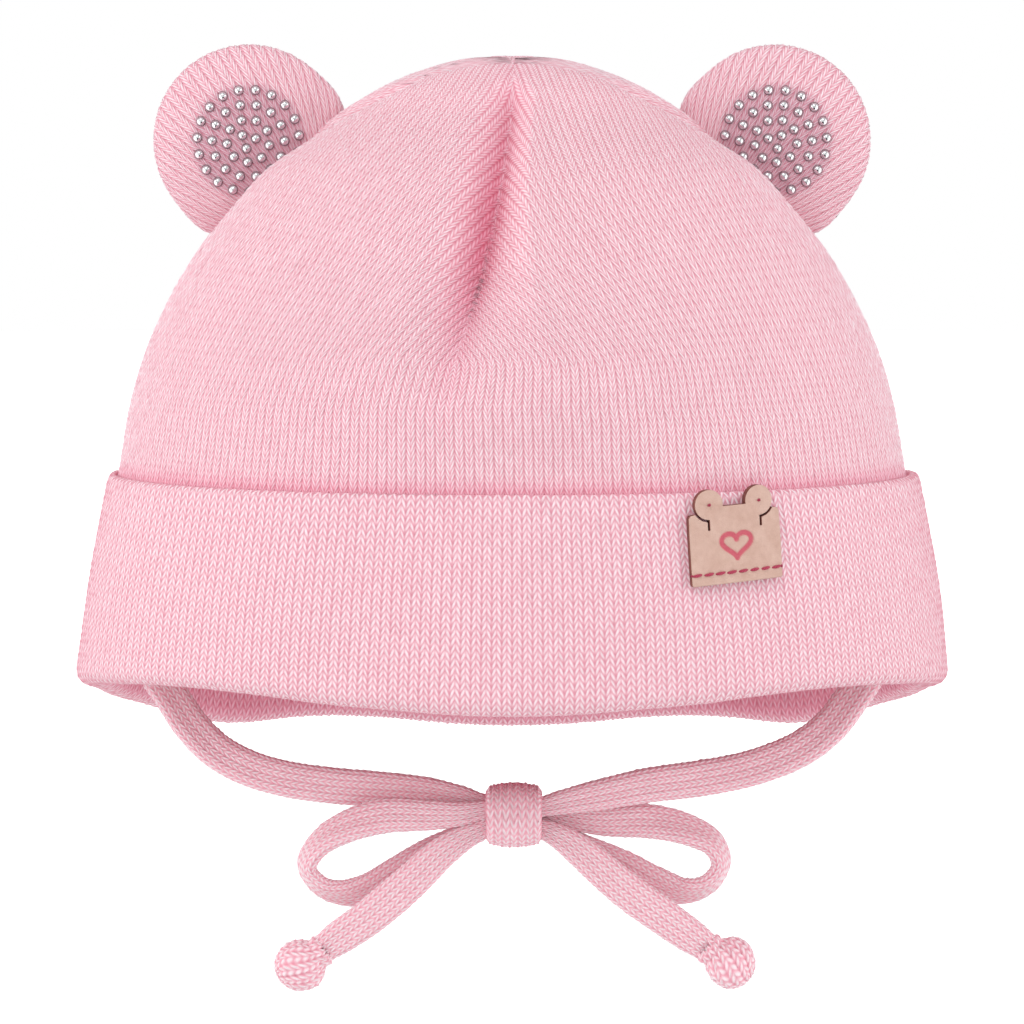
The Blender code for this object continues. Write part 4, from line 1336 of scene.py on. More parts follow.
@dataclass
class Ear:
    """A padded round ear: a stitched face and back, sewn into the side seam, and its studs.

    Attributes:
        form: The hat's form.
        side: -1 for the left ear, 1 for the right.
        height_share: Where its seat is, as a share of the crown's height.
        lift: How far its middle stands off the seat, in metres.
        set_back: How far back it stands.
        fan: Wales to either side of the fan's middle.
        fan_offset: Where the fan's wales would meet, outward and up from the ear's middle.
        wale_turn: The turn from one wale to the next.
        rows: Courses above and below the ear's middle.
        edge_share: How far past the rim the sheets go.
        face_margin: How deep in the crown the sheets end.
        section: The ear's half section, radius and half thickness as shares, from the face past the rim.
        skirts: Turns in degrees where the ear is wider at the crown, and how much.
        skirt_width: How broad each of these is, as an angle.
        shade: How much the knit under the studs is darkened, partly the backing's mauve and partly painted shade
            between the studs, and between which shares of their field it fades.
        fill: How soft its padding is. Not used.
        stud_rings: Radius share, count and first turn in steps.
        stud_section: Radius share and height share of a stud, from its foot to its tip.
        setting_section: The same for its setting.
        stud_seat: How far a stud's foot stands off the face.
        stud_tilt: How unevenly the studs lean.
        stud_margin: How deep in the crown a stud is left out.
    """

    form: HatForm
    side: int
    radius: float = 0.0201
    thickness: float = 0.0080
    height_share: float = 0.833
    lift: float = 0.0058
    set_back: float = 0.0030
    slope_step: float = 0.002
    fan_offset: tuple[float, float] = (0.0215, -0.0280)
    wale_turn: float = 0.0452
    course: float = 0.00132
    fan: int = 16
    rows: int = 19
    edge_share: float = 1.05
    face_margin: float = 0.0026
    section: tuple[tuple[float, float], ...] = (
        (0.00, 1.00),
        (0.25, 0.995),
        (0.45, 0.965),
        (0.62, 0.90),
        (0.76, 0.79),
        (0.87, 0.64),
        (0.94, 0.47),
        (0.985, 0.26),
        (1.00, 0.00),
        (0.97, -0.20),
        (0.90, -0.30),
    )
    skirts: tuple[tuple[float, float], ...] = ((-116.0, 0.055), (23.0, 0.045))
    skirt_width: float = 0.26
    shade: tuple[float, float, float] = (0.75, 0.90, 1.08)
    fill: float = 0.55
    stud_rings: tuple[tuple[float, int, float], ...] = (
        (0.083, 3, 0.39),
        (0.224, 9, 0.45),
        (0.378, 14, 0.49),
        (0.532, 19, 0.57),
    )
    stud_radius: float = 0.00095
    stud_height: float = 0.00095
    stud_sides: int = 16
    stud_seat: float = 0.00022
    stud_tilt: float = 0.035
    stud_margin: float = 0.0022
    setting_section: tuple[tuple[float, float], ...] = ((1.13, 0.00), (1.10, 0.14), (0.99, 0.15))
    stud_section: tuple[tuple[float, float], ...] = (
        (0.96, -0.30),
        (1.00, 0.05),
        (0.97, 0.28),
        (0.88, 0.52),
        (0.70, 0.74),
        (0.46, 0.90),
        (0.22, 0.975),
    )

    def word(self) -> str:
        """The side in a word."""
        return "left" if self.side < 0 else "right"

    def centre(self) -> Array:
        """The middle of the ear, a lift off the seam's outline."""
        seat = self.height_share * self.form.crown_height
        wide, _ = self.form.outline_at(seat)
        above, _ = self.form.outline_at(seat + self.slope_step)
        below, _ = self.form.outline_at(seat - self.slope_step)
        normal = unit(np.array([2 * self.slope_step, 0.0, float(below - above)]))
        outward = self.side * (float(wide) + self.lift * normal[0])
        return np.array([outward, self.set_back, seat + self.lift * normal[2]])

    def wrap(self, across: Array, up: Array, face: int) -> tuple[Array, Array, Array]:
        """Lays flat places over the ear's padded form.

        Args:
            across: Flat distance sideways from the ear's middle.
            up: Flat distance up from it.
            face: -1 for the front, 1 for the back.

        Returns:
            Points, normals, and the share of the way to the rim.
        """
        rows = smooth_curve(np.array(self.section), np.linspace(0, 1, 200))
        line = rows * (self.radius, self.thickness / 2)
        run = running_length(line)
        rim = run[int(np.argmax(rows[:, 0]))]
        flat = np.hypot(across, up)
        at = np.clip(flat, 0, run[-1] - 1e-5)
        radius, depth = np.moveaxis(read_rows(at, run, line), -1, 0)
        slope = read_rows(at + 2e-4, run, line) - read_rows(at - 2e-4, run, line)
        heading = np.stack([across, up], axis=-1) / np.maximum(flat, 1e-9)[..., None]
        toward = np.arctan2(up, -self.side * across)
        for degrees, wider in self.skirts:
            away = (toward - math.radians(degrees) + math.pi) % (2 * math.pi) - math.pi
            radius = radius * (1 + wider * np.exp(-((away / self.skirt_width) ** 2)) * (flat / rim) ** 3)
        def upright(outward: Array, ahead: Array) -> Array:
            """Vectors from parts along the heading and across the ear."""
            return np.stack([outward * heading[..., 0], face * ahead, outward * heading[..., 1]], axis=-1)

        points = self.centre() + upright(radius, depth)
        normals = unit(upright(-slope[..., 1], slope[..., 0]))
        return points, normals, flat / rim

    def surface(self, face: int) -> Surface:
        """Gives the stitched surface of the front or the back, its wales fanning out from the hat."""
        offset = np.array([-self.side * self.fan_offset[0], self.fan_offset[1]])
        toward = math.atan2(-offset[1], -offset[0])
        distance = float(np.hypot(*offset))

        def place(wale: Array, course: Array) -> tuple[Array, Array, Array]:
            """Points, normals, and whether a stitch is within the rim and out of the crown."""
            turn = toward + (wale - 0.5) * self.wale_turn * -face
            reach = distance + course * self.course
            across = offset[0] + reach * np.cos(turn)
            up = offset[1] + reach * np.sin(turn)
            points, normals, share = self.wrap(across, up, face)
            kept = (share < self.edge_share) & ~self.form.covers(points, self.face_margin)
            return points, normals, kept

        return place

    def build_face(self, face: int, finish: bpy.types.Material) -> bpy.types.Object:
        """Builds one face of the ear."""
        piece = KnitSheet(
            f"ear_{self.word()}_" + ("front" if face < 0 else "back"),
            "ear_" + self.word(),
            "crown_knit",
            self.surface(face),
            (-self.fan, self.fan),
            (-self.rows, self.rows),
            finish,
            seed=31 + self.side + 4 * face,
            stitch=Stitch(relief=0.00016, slant=2.0, valley=0.75),
        ).build()
        # Under the studs the knit gets the backing's mauve and painted shade between the studs.
        away = np.linalg.norm((places_of(piece) - self.centre())[:, (0, 2)], axis=1)
        ring = self.radius * self.stud_rings[-1][0] + 1.3 * self.stud_radius
        most, near, far = self.shade
        give_number(piece, "shade", most * (1 - smooth_step(away, ring * near, ring * far)) * (face < 0))
        return piece

    def stud_places(self) -> list[tuple[Array, Array]]:
        """Foot and direction of each stud that the crown leaves in view."""
        places = []
        for share, count, first in self.stud_rings:
            for step in range(count):
                turn = math.pi / 2 + 2 * math.pi * (step + first) / count
                across = np.array(self.side * -self.radius * share * math.cos(turn))
                up = np.array(self.radius * share * math.sin(turn))
                foot, normal, _ = self.wrap(across, up, -1)
                if not bool(self.form.covers(foot, self.stud_margin)):
                    places.append((foot, normal))
        return places

    def build_studs(self, finishes: Finishes) -> bpy.types.Object:
        """Builds the ear's studs as one piece, each a dome in a thin setting whose dark colour is painted shade at its
        foot.
        """
        points, faces, settings = [], [], []
        sides = self.stud_sides
        turns = 2 * math.pi * np.arange(sides)[:, None] / sides
        rings = self.setting_section + self.stud_section
        last_setting = len(self.setting_section) - 1
        chance = np.random.default_rng(57 + self.side)
        for foot, normal in self.stud_places():
            tilt = unit(normal + chance.normal(0, self.stud_tilt, 3))
            aside = unit(np.cross(tilt, (0.0, 0.0, 1.0)))
            around = self.stud_radius * (np.cos(turns) * aside + np.sin(turns) * np.cross(aside, tilt))
            first = len(points)
            for share, rise in rings:
                points.extend(foot + tilt * (self.stud_height * rise + self.stud_seat) + share * around)
            points.append(foot + tilt * (self.stud_height + self.stud_seat))
            tip = first + len(rings) * sides
            for c in range(sides):
                after = (c + 1) % sides
                for ring in range(len(rings) - 1):
                    if ring != last_setting:
                        low, high = first + ring * sides, first + (ring + 1) * sides
                        faces.append((low + c, low + after, high + after, high + c))
                        settings.append(ring < last_setting)
                faces.append((tip - sides + c, tip - sides + after, tip))
                settings.append(False)
        studs = link_mesh("studs_" + self.word(), np.array(points), faces, None, finishes.stud)
        studs.data.materials.append(finishes.setting)
        studs.data.polygons.foreach_set("material_index", np.array(settings, np.int32))
        take_place(studs, "stud_field_" + self.word(), "stud_metal")
        return studs

    def build(self, finishes: Finishes) -> list[bpy.types.Object]:
        """Builds both faces and the studs."""
        faces = [self.build_face(face, finishes.crown) for face in (-1, 1)]
        return faces + [self.build_studs(finishes)]


@dataclass
class Tag:
    """The leather tag on the cuff, with its small ears, slits, pressed heart and rose stitches.

    Attributes:
        form: The hat's form.
        shoulder: Height of its sides.
        bar: Height of its top edge between the ears.
        notch_turns: Turns in degrees of the notch beside each ear.
        corner: How much its corners are cut.
        shoulder_cut: How much its shoulders are cut, down and across.
        slit_round: How round a slit's end is.
        sideways: Where it sits on the cuff, from the hat's middle.
        stand_off: Its gap to the cuff.
        grid: The size of its faces.
        bevel: How round its edges are.
        heart_mark: Between these shares of the stroke the mark's colour fades.
        heart_sink: Between these the mark's depth does.
        seam_up: The seam's height.
        thread_radius: The thread's half thickness.
    """

    form: HatForm
    width: float = 0.0200
    shoulder: float = 0.0148
    bar: float = 0.0162
    ear_up: float = 0.0167
    ear_radius: float = 0.00305
    ear_spread: float = 0.0055
    slit: float = 0.00050
    slit_length: float = 0.0018
    notch_turns: tuple[float, float, float] = (-30.0, -46.0, -63.0)
    corner: float = 0.0003
    shoulder_cut: tuple[float, float] = (0.0006, 0.0004)
    slit_round: float = 0.0002
    thickness: float = 0.0015
    stand_off: float = 0.00025
    bevel: float = 0.00018
    sideways: float = 0.0456
    base_height: float = 0.0274
    tilt: float = math.radians(3.7)
    grid: float = 0.00024
    heart_centre: tuple[float, float] = (0.0001, 0.0079)
    heart_size: float = 0.0044
    heart_stroke: float = 0.00050
    heart_depth: float = 0.00022
    heart_mark: tuple[float, float] = (0.85, 1.35)
    heart_sink: tuple[float, float] = (0.60, 1.60)
    seam_up: float = 0.00235
    seam_stitches: int = 8
    thread_radius: float = 0.00034

    def outline(self) -> list[tuple[float, float]]:
        """The tag's outline, across and up from the middle of its lower edge, counter-clockwise."""
        half = self.width / 2
        notch = self.ear_radius + self.slit
        slit_out = self.ear_spread + self.slit
        slit_top = self.ear_up - notch
        down, aside = self.shoulder_cut
        right = [(half - self.corner, 0.0), (half, self.corner), (half, self.shoulder / 2)]
        right += [(half, self.shoulder - down), (half - aside, self.shoulder)]
        stop = math.pi + math.asin((self.ear_up - self.bar) / self.ear_radius)

        def arc(radius: float, turns: Array) -> list[tuple[float, float]]:
            """Points round the ear's middle."""
            return [(self.ear_spread + radius * math.cos(t), self.ear_up + radius * math.sin(t)) for t in turns]

        bottom = slit_top - self.slit_length
        right += arc(notch, np.radians(self.notch_turns))
        right += [(slit_out, slit_top), (slit_out, bottom + self.slit_round)]
        right += [(self.ear_spread + self.slit / 2, bottom), (self.ear_spread, bottom + self.slit_round)]
        right += arc(self.ear_radius, np.linspace(-math.pi / 2, stop, 26))
        return right + [(-across, up) for across, up in reversed(right)]

    def heart(self) -> Array:
        """The pressed heart's line, across and up."""
        turn = np.linspace(0, 2 * math.pi, 200)
        across = 16 * np.sin(turn) ** 3 / 17
        up = (13 * np.cos(turn) - 5 * np.cos(2 * turn) - 2 * np.cos(3 * turn) - np.cos(4 * turn)) / 17
        line = np.column_stack([across, up * 0.86 + 0.10]) * self.heart_size * 0.80
        return line + self.heart_centre

    def bend(self, across: Array, up: Array, lift: Array) -> Array:
        """Lays tag places on the cuff's curved front.

        Args:
            across: Distance from the tag's middle.
            up: Distance from its lower edge.
            lift: Distance off the cuff's face.

        Returns:
            The points.
        """
        form = self.form
        face = form.clearance + form.knit_wall + form.clearance + self.stand_off
        level_across = across * math.cos(self.tilt) - up * math.sin(self.tilt)
        height = self.base_height + up * math.cos(self.tilt) + across * math.sin(self.tilt)
        wide, deep = form.outline_at(height)

        def speed(turn: Array) -> Array:
            """How far the cuff's face goes for each turn."""
            return np.hypot((wide + face) * np.sin(turn), (deep + face) * np.cos(turn))

        start = -np.arccos(self.sideways / (wide + face))
        mean = (speed(start) + speed(start + level_across / speed(start))) / 2
        turn = start + level_across / mean
        beside = np.stack([np.cos(turn) / wide, np.sin(turn) / deep], axis=-1)
        beside = beside / np.linalg.norm(beside, axis=-1, keepdims=True)
        out = face + lift
        return np.stack([
            wide * np.cos(turn) + out * beside[..., 0],
            deep * np.sin(turn) + out * beside[..., 1],
            height - form.rim_drop(turn, height),
        ], axis=-1)

    def build_plate(self, finishes: Finishes) -> bpy.types.Object:
        """Builds the plate with rounded edges and the heart pressed into it."""
        shape = bmesh.new()
        ring = [shape.verts.new((across, 0.0, up)) for across, up in self.outline()]
        shape.faces.new(ring)
        top = self.ear_up + self.ear_radius
        half = self.width / 2
        cuts = [((x, 0, 0), (1, 0, 0)) for x in np.arange(-half + self.grid, half, self.grid)]
        cuts += [((0, 0, z), (0, 0, 1)) for z in np.arange(self.grid, top, self.grid)]
        for where, across in cuts:
            everything = shape.verts[:] + shape.edges[:] + shape.faces[:]
            bmesh.ops.bisect_plane(shape, geom=everything, plane_co=where, plane_no=across)
        made = bmesh.ops.extrude_face_region(shape, geom=shape.faces[:])
        for vert in made["geom"]:
            if isinstance(vert, bmesh.types.BMVert):
                vert.co.y = -self.thickness
        bmesh.ops.recalc_face_normals(shape, faces=shape.faces)
        corners = [
            edge for edge in shape.edges
            if len(edge.link_faces) == 2 and edge.calc_face_angle() > 1.2
            and abs(edge.verts[0].co.y - edge.verts[1].co.y) < 1e-6
        ]
        bmesh.ops.bevel(
            shape, geom=corners, offset=self.bevel, segments=2, affect="EDGES", clamp_overlap=True
        )
        for face in shape.faces:
            face.material_index = int(abs(face.normal.y) < 0.80)
            face.smooth = True
        flat = np.array([tuple(vert.co) for vert in shape.verts])
        near = np.linalg.norm(flat[:, None, (0, 2)] - self.heart()[None, ::2], axis=2).min(axis=1)
        strokes = near / self.heart_stroke
        front = flat[:, 1] < -self.thickness * 0.9
        mark = (1 - smooth_step(strokes, *self.heart_mark)) * front
        sink = (1 - smooth_step(strokes, *self.heart_sink)) * front
        soft = 0.00010 * np.sin(flat[:, 0] * 420) * np.cos(flat[:, 2] * 350)
        bent = self.bend(flat[:, 0], flat[:, 2], -flat[:, 1] - self.heart_depth * sink + soft)
        for vert, point in zip(shape.verts, bent):
            vert.co = point
        mesh = bpy.data.meshes.new("leather_tag")
        shape.to_mesh(mesh)
        shape.free()
        mesh.materials.append(finishes.leather)
        mesh.materials.append(finishes.leather_edge)
        plate = bpy.data.objects.new("leather_tag", mesh)
        bpy.context.scene.collection.objects.link(plate)
        give_number(plate, "mark", mark)
        take_place(plate, "label_tag", "tag_leather")
        return plate

    def strand(
        self, middle: tuple[float, float], half: tuple[float, float], arch: float
    ) -> tuple[Array, Array, Array]:
        """A short strand of thread over the plate, its ends sunk in.

        Args:
            middle: Across and up at its middle.
            half: How far it goes from there, across and up.
            arch: How far its middle stands off the plate.

        Returns:
            Points, faces and thread counts.
        """
        stations, sides, radius = 9, 8, self.thread_radius
        share = np.linspace(0, 1, stations)
        across, up = (middle[k] + half[k] * (2 * share - 1) for k in range(2))
        lift = self.thickness - radius * 0.8 + (arch + radius * 0.8) * np.sin(math.pi * share) ** 0.6
        line = self.bend(across, up, lift)
        heading = unit(np.gradient(line, axis=0))
        out = unit(self.bend(across, up, lift + 1e-3) - line)
        aside = np.cross(heading, out)
        width = radius * (0.72 + 0.28 * np.sin(math.pi * share))
        turn = 2 * math.pi * np.arange(sides + 1) / sides
        points = line[:, None] + width[:, None, None] * (
            np.cos(turn)[None, :, None] * aside[:, None] + np.sin(turn)[None, :, None] * out[:, None]
        )
        faces = KnitSheet.faces(np.ones((stations, sides + 1), bool))
        counts = np.stack(np.meshgrid(turn / (2 * math.pi), share * 2.2), axis=-1)
        return points.reshape(-1, 3), faces, counts.reshape(-1, 2)

    def build_thread(self, finishes: Finishes) -> bpy.types.Object:
        """Builds the row of rose stitches, which goes over both edges, and a stitch on each small ear."""
        pitch = self.width / self.seam_stitches
        strands = []
        for step in range(self.seam_stitches):
            middle = (step + 0.44) * pitch - self.width / 2 + 0.0001
            strands.append(((middle, self.seam_up), (0.44 * pitch, 0.00012), 0.00022))
        for side in (-1, 1):
            strands.append(((side * self.ear_spread, self.ear_up), (0.00038, 0.0002), 0.00026))
            edge = self.width / 2 - 0.0001
            strands.append(((side * edge, self.seam_up), (side * 0.0003, 0.0), -0.0001))
        points, faces, counts, start = [], [], [], 0
        for strand in strands:
            some, joined, turns = self.strand(*strand)
            points.append(some)
            faces.append(joined + start)
            counts.append(turns)
            start += len(some)
        thread = link_mesh("tag_thread", np.vstack(points), np.vstack(faces), np.vstack(counts), finishes.thread)
        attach(thread, BODY)
        return thread

    def build(self, finishes: Finishes) -> list[bpy.types.Object]:
        """Builds the plate and its thread."""
        return [self.build_plate(finishes), self.build_thread(finishes)]


@dataclass
class ChinTie:
    """A knitted ribbon from inside the hat through the knot, round a loop and down to its ball.

    Attributes:
        name: The CAD node that it stands for.
        route: Places in metres, the width's share, and the turn of the ribbon's face in degrees.
        width: The ribbon's width, in metres.
        thick: Its thickness.
        squeezed: How much of its width the knot leaves it.
        course: A course's height.
        square: How square its section is. At 1, it is an ellipse.
        hollow: How much its middle sinks between the rolled edges, and how broadly.
        steps: How many points its route is read at, first and then at even steps.
    """

    name: str
    route: tuple[tuple[float, float, float, float, float], ...]
    width: float = 0.0073
    thick: float = 0.0034
    squeezed: float = 0.22
    wales: int = 12
    course: float = 0.00140
    square: float = 0.75
    hollow: tuple[float, float] = (0.20, 0.55)
    steps: tuple[int, int] = (2400, 700)
    seed: int = 71

    def line(self) -> Array:
        """The route read densely at even steps, with its width share and turn."""
        fine = smooth_curve(np.array(self.route), np.linspace(0, 1, self.steps[0]))
        run = running_length(fine[:, :3])
        return read_rows(np.linspace(0, run[-1], self.steps[1]), run, fine)

    def length(self) -> float:
        """The ribbon's length along its middle."""
        return float(running_length(self.line()[:, :3])[-1])

    def section(self) -> Array:
        """The ribbon's section with its rolled edges, in metres."""
        turn = np.linspace(0, 2 * math.pi, 400)
        wide, deep = (np.sign(part) * np.abs(part) ** self.square for part in (np.cos(turn), np.sin(turn)))
        rolled = 1 - self.hollow[0] * np.exp(-((wide / self.hollow[1]) ** 2))
        return np.column_stack([wide, deep * rolled]) * (self.width / 2, self.thick / 2)

    def surface(self, wale: Array, course: Array) -> tuple[Array, Array, Array]:
        """Places stitches round the ribbon.

        Args:
            wale: Wale counts round the section.
            course: Course counts along the route.

        Returns:
            Points, normals, and that all are kept.
        """
        line = self.line()
        run = running_length(line[:, :3])
        heading = unit(np.gradient(line[:, :3], axis=0))
        aside = unit(np.cross(heading, (0.0, -1.0, 0.0)))
        out = np.cross(aside, heading)
        tilt = np.radians(line[:, 4])[:, None]
        broad = unit(aside * np.cos(tilt) + out * np.sin(tilt))
        thin = unit(out * np.cos(tilt) - aside * np.sin(tilt))
        section = self.section()
        around = running_length(section)
        at = np.clip(course * self.course, 0, run[-1])
        spot = (wale / self.wales % 1.0) * around[-1]
        flat = read_rows(spot, around, section)
        share = self.squeezed + (1 - self.squeezed) * np.interp(at, run, line[:, 3])
        fat = np.minimum(1.0, share ** 0.45 * 1.12)
        centre, broad, thin = (read_rows(at, run, rows) for rows in (line[:, :3], broad, thin))
        offset = broad * (flat[..., 0] * share)[..., None] + thin * (flat[..., 1] * fat)[..., None]
        slope = read_rows(spot + 1e-4, around, section) - read_rows(spot - 1e-4, around, section)
        normals = unit(broad * slope[..., 1:] - thin * slope[..., :1])
        return centre + offset, normals, np.ones(wale.shape, bool)

    def build(self, finishes: Finishes, ball: bpy.types.Object) -> bpy.types.Object:
        length = self.length()
        ribbon = KnitSheet(
            self.name.replace("chin_tie", "ribbon"),
            self.name,
            "tie_knit",
            self.surface,
            (0, self.wales),
            (0, math.floor(length / self.course)),
            finishes.cord,
            self.seed,
            Stitch(relief=0.00025, slant=0.9, valley=0.6, ragged=0.00003),
            closed=True,
        ).build()
        line = self.line()[:, :3]
        return ribbon


@dataclass
class Ball:
    """The knitted ball on a tie's end, with a collar where the ribbon goes in.

    Attributes:
        word: left or right.
        end: The ribbon's last two route points.
        section: Places along the ball's axis and half widths, as shares of its radius.
        twist: How far its wales turn from the collar to its far side.
    """

    word: str
    end: tuple[tuple[float, float, float], tuple[float, float, float]]
    radius: float = 0.0050
    clearance: float = 0.00035
    wales: int = 11
    courses: int = 11
    twist: float = 1.5
    section: tuple[tuple[float, float], ...] = (
        (-1.32, 0.40), (-1.16, 0.66), (-1.00, 0.62), (-0.86, 0.62), (-0.62, 0.82), (-0.30, 0.98),
        (0.05, 1.03), (0.40, 0.95), (0.70, 0.74), (0.90, 0.45), (0.98, 0.18), (1.00, 0.0),
    )
    seed: int = 91

    def axis(self) -> tuple[Array, Array]:
        """The ball's middle and the direction from the ribbon to it."""
        before, end = (np.array(point) for point in self.end)
        heading = unit(end - before)
        return end + heading * (self.radius + self.clearance), heading

    def surface(self, wale: Array, course: Array) -> tuple[Array, Array, Array]:
        """Places stitches on the ball, from its collar to its far side."""
        centre, heading = self.axis()
        aside = unit(np.cross(heading, (0.0, 1.0, 0.0)))
        over = np.cross(heading, aside)
        share = np.clip(course / self.courses, 0, 1)
        line = smooth_curve(np.array(self.section), np.linspace(0, 1, 120)) * self.radius
        run = running_length(line)
        turn = 2 * math.pi * wale / self.wales + self.twist * share
        lump = 1 + 0.07 * np.sin(3 * turn + 2.0) * np.sin(math.pi * share) + 0.035 * np.sin(5 * turn + 7 * share)

        def place(angle: Array, where: Array) -> Array:
            """A point of the ball's face."""
            ahead, wide = np.moveaxis(read_rows(where, run, line), -1, 0)
            round_about = np.cos(angle)[..., None] * aside + np.sin(angle)[..., None] * over
            return centre + ahead[..., None] * heading + (wide * lump)[..., None] * round_about

        at = share * run[-1]
        return place(turn, at), facing(place, turn, at, (1e-2, 1e-4)), np.ones(wale.shape, bool)

    def build(self, finishes: Finishes) -> bpy.types.Object:
        """Builds the ball in its node's place."""
        return KnitSheet(
            "ball_" + self.word,
            "tie_ball_" + self.word,
            "tie_knit",
            self.surface,
            (0, self.wales),
            (0, self.courses),
            finishes.cord,
            self.seed,
            Stitch(relief=0.00042, slant=0.8, valley=0.6, ragged=0.00006, across=6, along=4),
            closed=True,
        ).build()


@dataclass
class Knot:
    """The short knitted band wrapped round the ties.

    Attributes:
        bulge: How much smaller it is at its edges than in its middle.
        edge_roll: How deep its edges roll in, in metres.
        flat: How much of its half width comes before the roll.
        over: How many wales go on past its edges.
        square: How square its section is. At 1, it is an ellipse.
    """

    centre: tuple[float, float, float] = (0.0004, -0.0240, -0.0236)
    width: float = 0.0116
    height: float = 0.0134
    depth: float = 0.0130
    wales: int = 7
    courses: int = 26
    bulge: float = 0.13
    edge_roll: float = 0.0020
    flat: float = 0.86
    over: float = 0.75
    square: float = 0.86

    def surface(self, wale: Array, course: Array) -> tuple[Array, Array, Array]:
        """Places stitches on the band. Wales count across it, courses round it."""

        half = self.width / 2

        def place(angle: Array, where: Array) -> Array:
            """A point of the band's face. Beyond its edges it rolls in under itself."""
            share = np.clip(where / half, -1.35, 1.35)
            rolled = 1 - self.flat
            roll = np.clip(np.clip(np.abs(share) - self.flat, 0, None) / rolled, 0, 2.6)
            along = np.sign(share) * (np.minimum(np.abs(share), self.flat) + rolled * np.sin(roll))
            drop = self.edge_roll * (1 - np.cos(roll)) * 1.3
            swell = 1 - self.bulge * along**2
            c, s = (np.sign(part) * np.abs(part) ** self.square for part in (np.cos(angle), np.sin(angle)))
            return np.stack([
                self.centre[0] + half * along,
                self.centre[1] - (self.depth / 2 * swell - drop) * c,
                self.centre[2] + (self.height / 2 * swell - drop) * s,
            ], axis=-1)

        where = (wale - self.wales / 2) / (self.wales / 2) * half
        angle = 2 * math.pi * course / self.courses
        return place(angle, where), facing(place, angle, where, (1e-2, 5e-5)), np.ones(wale.shape, bool)

    def build(self, finishes: Finishes) -> bpy.types.Object:
        """Builds the band in the knot's place."""
        return KnitSheet(
            "knot_band",
            "bow_knot",
            "tie_knit",
            self.surface,
            (-self.over, self.wales + self.over),
            (0, self.courses),
            finishes.cord,
            seed=83,
            stitch=Stitch(relief=0.00024, slant=1.0, valley=0.8, ragged=0.00005, across=6, along=4),
        ).build()


